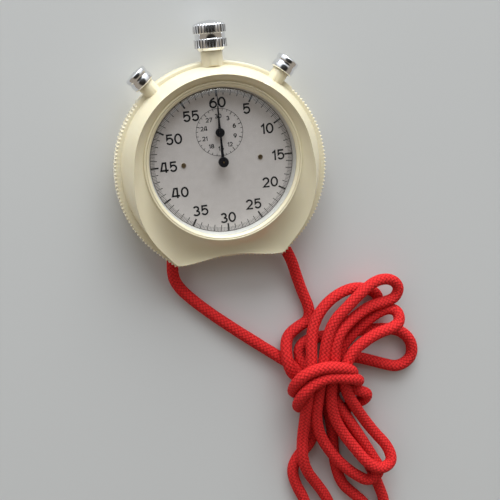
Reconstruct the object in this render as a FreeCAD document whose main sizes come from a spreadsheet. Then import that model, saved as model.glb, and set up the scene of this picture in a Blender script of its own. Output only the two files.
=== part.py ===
"""Mechanical stopwatch with a two-shell plastic case, crown, two pushers, a lever movement and a
looped wrist lanyard.  Millimetres.

Frame: the origin is on the seconds-hand axis, in the plane of the flat case back.  +Z points out of
the dial, +Y towards the crown (60 on the dial) and +X towards 15 on the dial.

Every sub-part is one object of the document.  Its sketches and features are bound to the cells of
the sheet "Sizes".  A length written as text below, such as "dial_z - dial_thick", is an expression
in the names of those cells.
"""
import FreeCAD, Part
import math
import os
import re
import Sketcher
from FreeCAD import Placement, Rotation, Vector

DIMENSIONS = [
    ("outline_radius", 30.0, "round stretch of the case outline, at the tips of the knurling"),
    ("outline_centre_y", -2.8, "centre of that round stretch"),
    ("shoulder_radius", 2.1, "rounded tip of each lower shoulder"),
    ("shoulder_x", 15.0, "centre of the shoulder's rounding"),
    ("shoulder_y", -27.1, "centre of the shoulder's rounding"),
    ("scoop_y", -27.7, "middle of the hollow lower edge"),
    ("knurl_depth", 0.5, "depth of the knurling on the back shell"),
    ("seam_z", 9.2, "face where the front shell meets the back shell"),
    ("foot_radius", 28.0, "foot of the front shell's outer wall"),
    ("foot_centre_y", -1.93, "centre of the wall's foot"),
    ("edge_radius", 24.6, "crisp front edge of the front shell"),
    ("edge_centre_y", -0.83, "centre of the front edge"),
    ("edge_z", 15.5, "height of the front edge"),
    ("rim_z", 13.4, "height of the raised ring round the crystal"),
    ("rim_outer", 22.1, "outer radius of the raised ring"),
    ("rim_inner", 20.9, "inner radius of the raised ring"),
    ("back_wall", 1.2, "thickness of the case back"),
    ("cavity_radius", 21.4, "cavity for the movement"),
    ("crystal_top_z", 15.7, "top of the domed crystal"),
    ("crystal_wall", 1.1, "thickness of the crystal"),
    ("dial_z", 10.0, "printed face of the dial"),
    ("dial_thick", 0.4, "thickness of the dial"),
    ("dial_radius", 20.7, "radius of the dial"),
    ("recorder_y", 8.0, "minute recorder's axis above the centre"),
    ("seconds_hand_z", 11.5, "underside of the seconds hand"),
    ("minute_hand_z", 10.6, "underside of the minute hand"),
    ("stem_z", 8.7, "height of the crown's and the pushers' axes"),
    ("crown_radius", 4.45, "radius of the crown cap"),
    ("crown_inner_y", 29.2, "inner end of the crown cap"),
    ("crown_rim_y", 36.6, "outer rim of the crown cap"),
    ("crown_neck_radius", 3.0, "radius of the case neck under the crown"),
    ("crown_travel", 1.0, "travel of the crown when it is pressed"),
    ("pusher_angle", 39.5, "angle of each pusher from the crown"),
    ("pusher_radius", 3.15, "radius of a pusher cap"),
    ("pusher_inner", 29.4, "inner end of a pusher cap"),
    ("pusher_rim", 33.0, "outer rim of a pusher cap"),
    ("pusher_neck_radius", 2.3, "radius of the case neck under a pusher"),
    ("pusher_travel", 1.5, "travel of a pusher"),
    ("plate_radius", 20.3, "radius of the mainplate"),
    ("plate_z", 5.6, "back face of the mainplate"),
    ("plate_thick", 1.6, "thickness of the mainplate"),
    ("bridge_z", 1.8, "back face of the bridges"),
    ("bridge_thick", 1.0, "thickness of the bridges"),
    ("pivot_gap", 0.05, "radial clearance of a pivot in its hole"),
    ("arbor_radius", 0.35, "radius of a wheel's arbor"),
    ("cord_diameter", 3.4, "braided lanyard cord"),
    ("cord_bore", 2.0, "radius of the lanyard passage in the back shell"),
    ("cord_z", 5.5, "height of the lanyard passage"),
]

doc = FreeCAD.newDocument("Stopwatch")
sheet = doc.addObject("Spreadsheet::Sheet", "Sizes")
for row, (alias, number, meaning) in enumerate(DIMENSIONS, start=1):
    sheet.set(f"A{row}", alias)
    sheet.set(f"B{row}", str(number))
    sheet.set(f"C{row}", meaning)
    sheet.setAlias(f"B{row}", alias)
doc.recompute()
ALIASES = {alias for alias, number, meaning in DIMENSIONS}
parts = []


# ---------------------------------------------------------------- expressions and placements

def bound(length):
    """Expression text in which every cell name is written as Sizes.name."""
    text = str(length)
    return re.sub(r"[a-z_]+", lambda word: "Sizes." + word.group() if word.group() in ALIASES
                  else word.group(), text)


def size(length):
    """Number of a length that is given as a number or as expression text."""
    return float(sheet.evalExpression(bound(length)))


def finish_part(thing, label, at=("0", "0", "0"), turn=None):
    """Name a sub-part, bind its place to the sheet and keep it for the export."""
    thing.Label = label
    thing.Placement = Placement(Vector(*[size(v) for v in at]), turn or Rotation())
    for axis, length in zip("xyz", at):
        thing.setExpression(f".Placement.Base.{axis}", bound(length))
    parts.append(thing)
    return thing


def about_z(degrees):
    return Rotation(Vector(0, 0, 1), degrees)


def along(direction):
    """Rotation that lays a part's own Z axis along a direction."""
    return Rotation(Vector(0, 0, 1), Vector(*direction))


CROWN_AXIS = along((0, 1, 0))
PUSHER_SIDES = {"left": -1, "right": 1}


def pusher_direction(side):
    angle = math.radians(size("pusher_angle"))
    return (PUSHER_SIDES[side] * math.sin(angle), math.cos(angle), 0)


# ---------------------------------------------------------------- sketches

def new_sketch(body, role, name):
    plane = [item for item in body.Origin.OriginFeatures if item.Role == role][0]
    sketch = body.newObject("Sketcher::SketchObject", name)
    sketch.AttachmentSupport = [(plane, "")]
    sketch.MapMode = "FlatFace"
    return sketch


def hold_point(sketch, edge, end, x, y):
    """Bind one point of a sketch to its two lengths from the origin."""
    for kind, length, axis in (("DistanceX", x, -2), ("DistanceY", y, -1)):
        if abs(size(length)) < 1e-9:
            sketch.addConstraint(Sketcher.Constraint("PointOnObject", edge, end, axis))
        else:
            rule = Sketcher.Constraint(kind, -1, 1, edge, end, size(length))
            index = sketch.addConstraint(rule)
            sketch.setExpression(f"Constraints[{index}]", bound(length))


def add_loop(sketch, points):
    """Closed straight-sided outline whose corners are bound to the sheet."""
    first = len(sketch.Geometry)
    corners = [Vector(size(x), size(y), 0) for x, y in points]
    for start, stop in zip(corners, corners[1:] + corners[:1]):
        sketch.addGeometry(Part.LineSegment(start, stop), False)
    for index, (x, y) in enumerate(points):
        following = first + (index + 1) % len(points)
        sketch.addConstraint(Sketcher.Constraint("Coincident", first + index, 2, following, 1))
        hold_point(sketch, first + index, 1, x, y)


def add_circle(sketch, x, y, radius):
    circle = Part.Circle(Vector(size(x), size(y), 0), Vector(0, 0, 1), size(radius))
    index = sketch.addGeometry(circle, False)
    hold_point(sketch, index, 3, x, y)
    rule = sketch.addConstraint(Sketcher.Constraint("Radius", index, size(radius)))
    sketch.setExpression(f"Constraints[{rule}]", bound(radius))


# ---------------------------------------------------------------- kinds of sub-part

def turned_body(label, *profiles):
    """Body of revolution about its own Z axis, one profile of (radius, height) per feature."""
    body = doc.addObject("PartDesign::Body", label)
    for number, profile in enumerate(profiles):
        sketch = new_sketch(body, "XZ_Plane", f"{label}_profile_{number}")
        add_loop(sketch, profile)
        turning = body.newObject("PartDesign::Revolution", f"{label}_turning_{number}")
        turning.Profile = sketch
        turning.ReferenceAxis = (sketch, ["V_Axis"])
        turning.Angle = 360
        sketch.Visibility = False
    doc.recompute()
    return body


def flat_body(label, thick, loops=(), circles=()):
    """Flat body on its own XY plane: outlines and circles, the inner ones being holes."""
    body = doc.addObject("PartDesign::Body", label)
    sketch = new_sketch(body, "XY_Plane", f"{label}_outline")
    for loop in loops:
        add_loop(sketch, loop)
    for x, y, radius in circles:
        add_circle(sketch, x, y, radius)
    pad = body.newObject("PartDesign::Pad", f"{label}_pad")
    pad.Profile = sketch
    pad.setExpression("Length", bound(thick))
    doc.recompute()
    return body


def cut_pattern(body, name, count, loop, low=0, thick=1):
    """Cut one gap from a height upwards and repeat it round the body's Z axis."""
    before = body.Shape.Volume
    sketch = new_sketch(body, "XY_Plane", f"{name}_gap")
    sketch.AttachmentOffset = Placement(Vector(0, 0, size(low)), Rotation())
    add_loop(sketch, loop)
    pocket = body.newObject("PartDesign::Pocket", f"{name}_cut")
    pocket.Profile = sketch
    pocket.Type = "Length"
    pocket.setExpression("Length", bound(thick))
    pocket.Reversed = True
    doc.recompute()
    pattern = body.newObject("PartDesign::PolarPattern", f"{name}_pattern")
    pattern.Originals = [pocket]
    pattern.Axis = (sketch, ["N_Axis"])
    pattern.Angle = 360
    pattern.Occurrences = count
    body.Tip = pattern
    doc.recompute()
    if not body.Shape.Volume < before - 1e-6:
        raise SystemExit(f"{name} cuts nothing")


TOOTH_TIP = 0.85
TOOTH_ROOT = 1.15


def add_teeth(body, name, teeth, module, low, thick):
    """Straight-flanked teeth with a little backlash; a tooth is centred on the body's own +X."""
    pitch = module * teeth / 2
    tip, root = pitch + TOOTH_TIP * module, pitch - TOOTH_ROOT * module
    step = 2 * math.pi / teeth
    middle = step / 2
    wide = step * 0.39
    narrow = step * 0.22
    beyond = tip + 0.3 * module
    gap = [(root * math.cos(middle - narrow), root * math.sin(middle - narrow)),
           (beyond * math.cos(middle - wide), beyond * math.sin(middle - wide)),
           (beyond * math.cos(middle + wide), beyond * math.sin(middle + wide)),
           (root * math.cos(middle + narrow), root * math.sin(middle + narrow))]
    cut_pattern(body, name, teeth, gap, low, thick)


def tip_radius(teeth, module):
    return module * (teeth / 2 + TOOTH_TIP)


def mirrored(point):
    return Vector(-point.x, point.y, point.z)


def shell_outline(radius, centre_y, tip, tip_round, scoop_y, height):
    """Wire of a case outline: round top, straight flanks, rounded shoulders, hollow lower edge."""
    centre = Vector(0, centre_y, height)
    tip = Vector(tip[0], tip[1], height)
    span = tip - centre
    # the straight flank touches both the big circle and the shoulder's rounding
    bearing = math.atan2(span.y, span.x)
    flank = bearing + math.acos((radius - tip_round) / span.Length)
    away = Vector(math.cos(flank), math.sin(flank), 0)
    flank_top = centre + away * radius
    flank_end = tip + away * tip_round
    tip_low = tip - Vector(0, tip_round, 0)
    halfway = flank / 2 - math.pi / 4
    tip_side = tip + Vector(math.cos(halfway), math.sin(halfway), 0) * tip_round
    drop = tip_low.y - scoop_y
    scoop = [tip_low, Vector(0.6 * tip.x, scoop_y + 0.84 * drop, height),
             Vector(0.3 * tip.x, scoop_y + 0.34 * drop, height), Vector(0, scoop_y, height)]
    scoop += [mirrored(point) for point in reversed(scoop[:-1])]
    hollow = Part.BSplineCurve()
    hollow.interpolate(Points=scoop, InitialTangent=Vector(-1, 0, 0), FinalTangent=Vector(-1, 0, 0))
    return Part.Wire([
        Part.Arc(mirrored(flank_top), centre + Vector(0, radius, 0), flank_top).toShape(),
        Part.LineSegment(flank_top, flank_end).toShape(),
        Part.Arc(flank_end, tip_side, tip_low).toShape(),
        hollow.toShape(),
        Part.Arc(mirrored(tip_low), mirrored(tip_side), mirrored(flank_end)).toShape(),
        Part.LineSegment(mirrored(flank_end), mirrored(flank_top)).toShape()])


def ring_profile(inner, outer, low, high):
    return [(inner, low), (outer, low), (outer, high), (inner, high)]


def coil_spring(label, coil_radius, wire, low, high, turns):
    """Helical spring about its own Z axis, between two heights."""
    path = Part.makeLongHelix((size(high) - size(low) - wire) / turns, size(high) - size(low) - wire, coil_radius)
    section = Part.Wire([Part.makeCircle(wire / 2, Vector(coil_radius, 0, 0), Vector(0, 1, 0))])
    path.translate(Vector(0, 0, size(low) + wire / 2))
    section.translate(Vector(0, 0, size(low) + wire / 2))
    return shaped(label, Part.Wire(path.Edges).makePipeShell([section], True, True))


def flat_spiral(inner, outer, turns, blade, low, high):
    """Flat spiral strip: a closed band between two Archimedean spirals, padded upwards."""
    steps = 16 * turns
    growth = (outer - inner) / steps
    sides = []
    for offset in (-blade / 2, blade / 2):
        points = []
        for step in range(steps + 1):
            angle = 2 * math.pi * step / 16
            radius = inner + growth * step + offset
            points.append(Vector(radius * math.cos(angle), radius * math.sin(angle), low))
        curve = Part.BSplineCurve()
        curve.interpolate(points)
        sides.append((curve.toShape(), points))
    ends = [Part.LineSegment(sides[0][1][k], sides[1][1][k]).toShape() for k in (0, -1)]
    band = Part.Face(Part.Wire(Part.__sortEdges__([sides[0][0], ends[1], sides[1][0], ends[0]])))
    return band.extrude(Vector(0, 0, high - low))


def shaped(label, shape):
    thing = doc.addObject("Part::Feature", label)
    thing.Shape = shape
    return thing


def group(label, shape, places):
    """One node of identical separate solids at several places (x, y, z)."""
    return finish_part(shaped(label, Part.makeCompound([shape.translated(Vector(*p)) for p in places])), label)


def cylinder(radius, start, stop):
    """Part cylinder between two points."""
    start, stop = Vector(*start), Vector(*stop)
    return Part.makeCylinder(radius, (stop - start).Length, start, stop - start)


# ---------------------------------------------------------------- case shells

CASE_SCREWS = [(24.6, 7.0), (-24.6, 7.0), (22.6, -15.5), (-22.6, -15.5)]
CASE_SCREW_GRIP = 2.4
LANYARD_CROSSING = [(-16.4, -27.4), (-13.2, -24.5), (13.2, -24.5), (16.4, -27.4)]
LANYARD_LEFT = [(-16.4, -27.4, 5.5), (-17.0, -31.8, 3.9), (-15.6, -36.6, 2.3), (-11.5, -41.7, 1.8),
                (-5.3, -47.8, 1.8), (1.2, -53.6, 1.8), (7.8, -59.3, 1.8), (13.4, -64.0, 1.8)]
LANYARD_RIGHT = [(16.4, -27.4, 5.5), (18.8, -32.4, 3.7), (20.3, -38.0, 2.2), (21.9, -43.8, 1.8)]
NECKS = [((0, 1, 0), "crown_neck_radius", 1.95, 1.0, 31.0),
         (pusher_direction("left"), "pusher_neck_radius", 1.65, 0.65, 29.9),
         (pusher_direction("right"), "pusher_neck_radius", 1.65, 0.65, 29.9)]
NECK_START = 22.15
NECK_STEP = 24.4


def cord_wire(points):
    """Straight runs joined by tangent arcs as wide as their runs allow; prints each radius."""
    corners = [Vector(*point) for point in points]
    edges, radii = [], []
    last = corners[0]
    for before, corner, after in zip(corners, corners[1:], corners[2:]):
        arrive, leave = corner - before, after - corner
        turn = arrive.getAngle(leave)
        radius = 0.45 * min(arrive.Length, leave.Length) / math.tan(turn / 2)
        reach = radius * math.tan(turn / 2)
        arrive.normalize()
        leave.normalize()
        start, stop = corner - arrive * reach, corner + leave * reach
        inward = (leave - arrive).normalize()
        middle = corner + inward * (radius / math.cos(turn / 2) - radius)
        edges += [Part.LineSegment(last, start).toShape(), Part.Arc(start, middle, stop).toShape()]
        radii.append(round(radius, 1))
        last = stop
    edges.append(Part.LineSegment(last, corners[-1]).toShape())
    return Part.Wire(edges), radii


def tube_along(path, radius):
    first = path.Edges[0]
    section = Part.Wire([Part.makeCircle(radius, first.valueAt(first.FirstParameter),
                                         first.tangentAt(first.FirstParameter))])
    return path.makePipeShell([section], True, True)


def neck_rod(direction, radius, start, stop):
    centre = Vector(0, 0, size("stem_z"))
    way = Vector(*direction)
    return cylinder(radius, centre + way * start, centre + way * stop)


def lanyard_passage():
    """Bore of the lanyard: across the lower case and out at both shoulders."""
    route = [(x, y, size("cord_z")) for x, y in LANYARD_CROSSING]
    path, _ = cord_wire(route)
    bore = tube_along(path, size("cord_bore"))
    for lead in (LANYARD_LEFT, LANYARD_RIGHT):
        bore = bore.fuse(cylinder(size("cord_bore"), lead[0], lead[1]))
    return bore


def make_front_case():
    seam, edge = size("seam_z"), size("edge_z")
    foot = shell_outline(size("foot_radius"), size("foot_centre_y"), (14.9, -26.9), 1.9, -27.4, seam)
    crisp = shell_outline(size("edge_radius"), size("edge_centre_y"), (15.4, -26.3), 1.0, -26.9, edge)
    shell = Part.makeLoft([foot, crisp], True, True)
    # the dish falls from the front edge to the ring round the crystal
    dish_low = size("rim_z") - 0.5
    dish = Part.makeCone(size("rim_outer"), size("rim_outer") + 3.3, 3.3, Vector(0, 0, dish_low))
    # the lower face slopes down to the hollow edge
    slope = [Vector(-40, -16.8, edge + 0.4), Vector(-40, -30.5, seam + 0.2), Vector(-40, -30.5, 20),
             Vector(-40, -16.8, 20)]
    wedge = Part.Face(Part.makePolygon(slope + slope[:1])).extrude(Vector(80, 0, 0))
    opening = cylinder(size("rim_outer"), (0, 0, 0), (0, 0, 20))
    screw_holes = [cylinder(0.8, (x, y, seam - 1), (x, y, seam + CASE_SCREW_GRIP)) for x, y in CASE_SCREWS]
    shell = shell.cut([dish, wedge, opening] + screw_holes)
    for direction, outer, bore, step_hole, end in NECKS:
        shell = shell.fuse(neck_rod(direction, size(outer), NECK_START, end))
    for direction, outer, bore, step_hole, end in NECKS:
        shell = shell.cut([neck_rod(direction, bore, NECK_STEP, end + 1),
                           neck_rod(direction, step_hole, NECK_START - 2, NECK_STEP)])
    return finish_part(shaped("front_case", shell.removeSplitter()), "front_case")


KNURL_TEETH = 172
SMOOTH_SECTOR = 50
TEETH_FADE = 4.0


def knurled_wire(height):
    """Saw-edged outline; it is smooth under the crown and fades out in the middle of the scoop."""
    outline = shell_outline(size("outline_radius"), size("outline_centre_y"),
                            (size("shoulder_x"), size("shoulder_y")), size("shoulder_radius"),
                            size("scoop_y"), height)
    points = outline.discretize(2 * KNURL_TEETH + 1)[:-1]
    corners = []
    for index, point in enumerate(points):
        inward = Vector(0, size("outline_centre_y"), height) - point
        depth = size("knurl_depth") * (index % 2)
        if abs(math.degrees(math.atan2(point.x, point.y))) < SMOOTH_SECTOR:
            depth = 0
        elif point.y < 0:
            depth *= min(1, abs(point.x) / TEETH_FADE)
        corners.append(point + inward.normalize() * depth)
    return Part.makePolygon(corners + corners[:1])


def make_back_case():
    seam, skirt = size("seam_z"), 2.0
    inset = 0.7
    plain = shell_outline(size("outline_radius") - inset, size("outline_centre_y"),
                          (size("shoulder_x"), size("shoulder_y")), size("shoulder_radius") - inset,
                          size("scoop_y") + inset, 0)
    base = Part.Face(plain).extrude(Vector(0, 0, skirt))
    rounded = [edge for edge in base.Edges if edge.BoundBox.ZMax < 0.01]
    base = base.makeFillet(1.2, rounded)
    band = Part.Face(knurled_wire(skirt)).extrude(Vector(0, 0, seam - skirt))
    shell = base.fuse(band)
    shell = shell.cut([cylinder(size("cavity_radius"), (0, 0, size("back_wall")), (0, 0, 20)),
                       lanyard_passage()])
    shell = shell.cut([neck_rod(direction, size(outer), NECK_START, 33)
                       for direction, outer, bore, step_hole, end in NECKS])
    shell = shell.cut([neck_rod(direction, size(outer), NECK_START - 3, NECK_START)
                       for direction, outer, bore, step_hole, end in NECKS])
    shell = shell.cut([cylinder(0.8, (x, y, -1), (x, y, seam + 1)) for x, y in CASE_SCREWS])
    shell = shell.cut([cylinder(1.55, (x, y, -1), (x, y, 1.0)) for x, y in CASE_SCREWS])
    return finish_part(shaped("back_case", shell), "back_case")


# ---------------------------------------------------------------- lanyard

def make_cord_tube(label, points):
    path, radii = cord_wire(points)
    radius = size("cord_diameter") / 2
    tube = tube_along(path, radius)
    expected = math.pi * radius ** 2 * path.Length
    print(label, "length", round(path.Length, 1), "arc radii", radii,
          "volume against section times length", round(tube.Volume / expected, 4))
    return finish_part(shaped(label, tube), label)


HANK_UPPER = [(19.6, -46.0), (25.0, -43.0), (33.0, -40.2), (44.0, -38.2), (51.0, -38.8), (53.6, -45.0),
              (54.6, -53.0), (58.4, -63.5), (58.4, -72.0), (52.0, -75.6), (42.0, -72.0), (18.0, -76.0),
              (13.6, -66.0), (12.8, -59.5), (19.0, -53.0)]
HANK_LOWER = [(17.0, -76.0), (36.0, -76.0), (42.0, -85.0), (49.0, -98.0), (48.4, -106.0), (46.6, -122.0),
              (46.6, -130.0), (42.0, -137.0), (33.0, -139.2), (24.0, -137.2), (18.4, -130.0),
              (12.4, -108.0), (12.4, -101.0), (15.5, -96.0)]
HANK_WAIST = [(12.8, -69.0), (16.0, -63.5), (25.0, -62.4), (33.0, -64.0), (37.6, -71.0), (41.4, -77.0),
              (41.0, -84.0), (35.0, -86.0), (22.0, -84.2), (14.0, -81.5), (12.8, -75.0)]
HANK_HEIGHT = 10.3
WAIST_HEIGHT = 14.0


def make_hank():
    pieces = []
    for points, height in ((HANK_UPPER, HANK_HEIGHT), (HANK_LOWER, HANK_HEIGHT), (HANK_WAIST, WAIST_HEIGHT)):
        corners = [Vector(x, y, 0) for x, y in points]
        pieces.append(Part.Face(Part.makePolygon(corners + corners[:1])).extrude(Vector(0, 0, height)))
    hank = pieces[0].fuse(pieces[1:]).removeSplitter()
    return finish_part(shaped("lanyard_hank", hank), "lanyard_hank")


make_front_case()
make_back_case()
make_cord_tube("lanyard_inner_run", [(x, y, size("cord_z")) for x, y in LANYARD_CROSSING])
make_cord_tube("lanyard_lead_left", LANYARD_LEFT)
make_cord_tube("lanyard_lead_right", LANYARD_RIGHT)
make_hank()


# ---------------------------------------------------------------- crystal, dial and hands

def add_turned(label, *profiles):
    return finish_part(turned_body(label, *profiles), label)


add_turned("crystal_ring", [
    ("rim_inner", "rim_z - 1.9"), ("rim_inner + 0.7", "rim_z - 0.2"), ("rim_outer - 0.3", "rim_z"),
    ("rim_outer", "rim_z - 0.3"), ("rim_outer", "rim_z - 3.0"), ("rim_inner", "rim_z - 3.0")])
add_turned("crystal", [
    (0, "crystal_top_z"), (8, "crystal_top_z - 0.2"), (14, "crystal_top_z - 0.8"),
    (18.5, "crystal_top_z - 1.7"), (20.3, "crystal_top_z - 2.5"), ("rim_inner - 0.05", "crystal_top_z - 3.4"),
    ("rim_inner - 0.05", "dial_z + 0.35"), ("rim_inner - 1.15", "dial_z + 0.35"),
    ("rim_inner - 1.15", "crystal_top_z - 3.5"), (19.3, "crystal_top_z - crystal_wall - 2.1"),
    (17.9, "crystal_top_z - crystal_wall - 1.5"), (13.7, "crystal_top_z - crystal_wall - 0.7"),
    (7.8, "crystal_top_z - crystal_wall - 0.15"), (0, "crystal_top_z - crystal_wall")])
add_turned("crystal_gasket", ring_profile("rim_inner - 0.85", "rim_inner - 0.1", "dial_z", "dial_z + 0.33"))


def make_dial():
    screws = [(-10.8, 0), (10.8, 0)]
    holes = [(x, y, 0.35) for x, y in screws] + [(0, 0, 0.6), (0, "recorder_y", 0.5)]
    dial = flat_body("dial", "dial_thick", circles=[(0, 0, "dial_radius")] + holes)
    finish_part(dial, "dial", (0, 0, "dial_z - dial_thick"))
    head = cylinder(0.65, (0, 0, 0), (0, 0, 0.25)).cut(Part.makeBox(2, 0.2, 1, Vector(-1, -0.1, 0.12)))
    shank = cylinder(0.33, (0, 0, -3.2), (0, 0, 0))
    group("dial_screws", head.fuse(shank), [(x, y, size("dial_z")) for x, y in screws])


def make_hand(label, hub, bore, boss, length, blade, at, point_angle):
    """Hand with a round hub; the blade points along +Y before it is turned."""
    hand = turned_body(label, ring_profile(bore, hub, 0, boss))
    sketch = new_sketch(hand, "XY_Plane", f"{label}_blade")
    inside = 0.8 * hub
    width, waist, tip = blade
    add_loop(sketch, [(-width, inside), (width, inside), (waist, length / 2), (tip, length),
                      (-tip, length), (-waist, length / 2)])
    pad = hand.newObject("PartDesign::Pad", f"{label}_blade_pad")
    pad.Profile = sketch
    pad.Length = 0.15
    doc.recompute()
    finish_part(hand, label, at, about_z(point_angle))


make_dial()
make_hand("seconds_hand", 1.4, 0.25, 1.2, 19.5, (0.42, 0.16, 0.1), (0, 0, "seconds_hand_z"), 0)
make_hand("minute_hand", 1.25, 0.2, 0.6, 7.2, (0.38, 0.22, 0.1), (0, "recorder_y", "minute_hand_z"), 0)

# ---------------------------------------------------------------- crown and pushers

finish_part(turned_body("crown_cap", [
    (3.15, "crown_inner_y"), (3.5, "crown_inner_y"), (4.2, "crown_inner_y + 1.1"),
    ("crown_radius", "crown_inner_y + 1.1"), ("crown_radius", "crown_inner_y + 3.4"),
    ("crown_radius - 0.4", "crown_inner_y + 3.6"), ("crown_radius - 0.4", "crown_inner_y + 4.9"),
    ("crown_radius", "crown_inner_y + 5.1"), ("crown_radius", "crown_rim_y - 0.25"),
    ("crown_radius - 0.3", "crown_rim_y"), (2.5, "crown_rim_y + 0.7"), (0, "crown_rim_y + 1.0"),
    (0, 33.0), (0.8, 33.0), (0.8, 32.4), (3.15, 32.4)]), "crown_cap", (0, 0, "stem_z"), CROWN_AXIS)
finish_part(turned_body("winding_stem", [
    (0, 14.1), (0.5, 14.1), (0.5, 25.0), (0.8, 25.0), (0.8, 29.05), (1.3, 29.05), (1.3, 30.0),
    (0.8, 30.0), (0.8, 33.0), (0, 33.0)]), "winding_stem", (0, 0, "stem_z"), CROWN_AXIS)
finish_part(turned_body("stem_sleeve", ring_profile(0.86, 1.9, 26.3, 29.0)),
            "stem_sleeve", (0, 0, "stem_z"), CROWN_AXIS)
finish_part(coil_spring("crown_spring", 1.6, 0.3, NECK_STEP, 26.3, 3), "crown_spring",
            (0, 0, "stem_z"), CROWN_AXIS)
pinion = turned_body("winding_pinion", ring_profile(0.5, tip_radius(12, 0.115), 15.0, 16.8))
add_teeth(pinion, "winding_pinion", 12, 0.115, 15.0, 1.8)
finish_part(pinion, "winding_pinion", (0, 0, "stem_z"), CROWN_AXIS)

for side in PUSHER_SIDES:
    lay = along(pusher_direction(side))
    finish_part(turned_body(f"{side}_pusher_cap", [
        (2.45, "pusher_inner"), (2.9, "pusher_inner"), ("pusher_radius", "pusher_inner + 0.25"),
        ("pusher_radius", "pusher_inner + 1.3"), ("pusher_radius - 0.3", "pusher_inner + 1.55"),
        ("pusher_radius - 0.3", "pusher_inner + 2.2"), ("pusher_radius", "pusher_inner + 2.45"),
        ("pusher_radius", "pusher_rim - 0.2"), ("pusher_radius - 0.2", "pusher_rim"),
        (0, "pusher_rim + 0.45"), (0, 32.2), (0.6, 32.2), (0.6, 31.7), (2.45, 31.7)]),
        f"{side}_pusher_cap", (0, 0, "stem_z"), lay)
    finish_part(turned_body(f"{side}_pusher_stem", [
        (0, 16.0), (0.55, 16.0), (0.55, 20.4), (0.85, 20.4), (0.85, 21.1), (0.6, 21.1),
        (0.6, 32.2), (0, 32.2)]), f"{side}_pusher_stem", (0, 0, "stem_z"), lay)
    finish_part(coil_spring(f"{side}_pusher_spring", 1.2, 0.3, NECK_STEP, 31.7, 6),
                f"{side}_pusher_spring", (0, 0, "stem_z"), lay)

# ---------------------------------------------------------------- layout of the movement

CENTRE = (0.0, 0.0)
RECORDER = (0.0, 8.0)


def beside(origin, distance, degrees):
    """Point at a distance and bearing from another; the bearing counts from +X towards +Y."""
    angle = math.radians(degrees)
    return (origin[0] + distance * math.cos(angle), origin[1] + distance * math.sin(angle))


def bearing(origin, target):
    return math.degrees(math.atan2(target[1] - origin[1], target[0] - origin[0]))


def centre_distance(module, teeth, pinion_teeth):
    return module * (teeth + pinion_teeth) / 2


def meshed_phase(driver, phase, teeth, driven, driven_teeth):
    """Angle of one tooth of the driven wheel, so that it stands in mesh with the driver."""
    line = bearing(driver, driven)
    return line + 180 - (phase - line) * teeth / driven_teeth + 180 / driven_teeth


BARREL_MODULE, SECOND_MODULE, THIRD_MODULE = 0.18, 0.14, 0.12
THIRD = beside(CENTRE, centre_distance(THIRD_MODULE, 80, 10), 200)
SECOND = beside(THIRD, centre_distance(SECOND_MODULE, 75, 10), 135)
BARREL = beside(SECOND, centre_distance(BARREL_MODULE, 80, 10), 75)
ESCAPE = beside(CENTRE, centre_distance(THIRD_MODULE, 80, 8), -60)
BALANCE = (9.0, -10.5)
PALLET = beside(ESCAPE, 3.5, bearing(ESCAPE, BALANCE))
CROWN_WHEEL = (0.0, 13.0)
RATCHET_TEETH, CROWN_WHEEL_TEETH = 52, 42
CROWN_WHEEL_GAP = math.dist(BARREL, CROWN_WHEEL)
WINDING_MODULE = 2 * CROWN_WHEEL_GAP / (RATCHET_TEETH + CROWN_WHEEL_TEETH)
RECORDER_MODULE = 0.14
INTERMEDIATE_NEAR = centre_distance(RECORDER_MODULE, 48, 8)
INTERMEDIATE_FAR = centre_distance(RECORDER_MODULE, 50, 10)
height_up = (INTERMEDIATE_NEAR ** 2 - INTERMEDIATE_FAR ** 2 + RECORDER[1] ** 2) / (2 * RECORDER[1])
INTERMEDIATE = (math.sqrt(INTERMEDIATE_NEAR ** 2 - height_up ** 2), height_up)

ARBOR_LOW, ARBOR_HIGH = "bridge_z + bridge_thick + 0.1", "plate_z - 0.1"


def make_wheel(label, place, phase, toothed, arbor, pivots=True):
    """Wheels and pinions on one arbor.  toothed lists (teeth, module, low, thick, phase)."""
    low, high = size(arbor[0]), size(arbor[1])
    profiles = [[(0, low), ("arbor_radius", low), ("arbor_radius", high), (0, high)]]
    for teeth, module, base, thick in toothed:
        profiles.append([(0, base), (tip_radius(teeth, module), base),
                         (tip_radius(teeth, module), base + thick), (0, base + thick)])
    if pivots:
        profiles.append([(0, low - 0.6), (0.15, low - 0.6), (0.15, high + 0.6), (0, high + 0.6)])
    wheel = turned_body(label, *profiles)
    for number, (teeth, module, base, thick) in enumerate(toothed):
        add_teeth(wheel, f"{label}_{number}", teeth, module, base, thick)
    return finish_part(wheel, label, (place[0], place[1], 0), about_z(phase))


# Each wheel and its pinion share a tooth on the same line, so one phase sets both.
seconds_phase = 0.0
third_phase = meshed_phase(CENTRE, seconds_phase, 10, THIRD, 80)
second_phase = meshed_phase(THIRD, third_phase, 10, SECOND, 75)
barrel_phase = meshed_phase(SECOND, second_phase, 10, BARREL, 80)
escape_phase = meshed_phase(CENTRE, seconds_phase, 80, ESCAPE, 8)
intermediate_phase = meshed_phase(CENTRE, seconds_phase, 8, INTERMEDIATE, 48)
minute_phase = meshed_phase(INTERMEDIATE, intermediate_phase, 10, RECORDER, 50)

make_wheel("third_wheel", THIRD, third_phase,
           [(80, THIRD_MODULE, 3.7, 0.25), (10, SECOND_MODULE, 4.45, 0.55)], (ARBOR_LOW, ARBOR_HIGH))
make_wheel("second_wheel", SECOND, second_phase,
           [(75, SECOND_MODULE, 4.6, 0.25), (10, BARREL_MODULE, 2.95, 0.6)], (ARBOR_LOW, ARBOR_HIGH))


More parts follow.
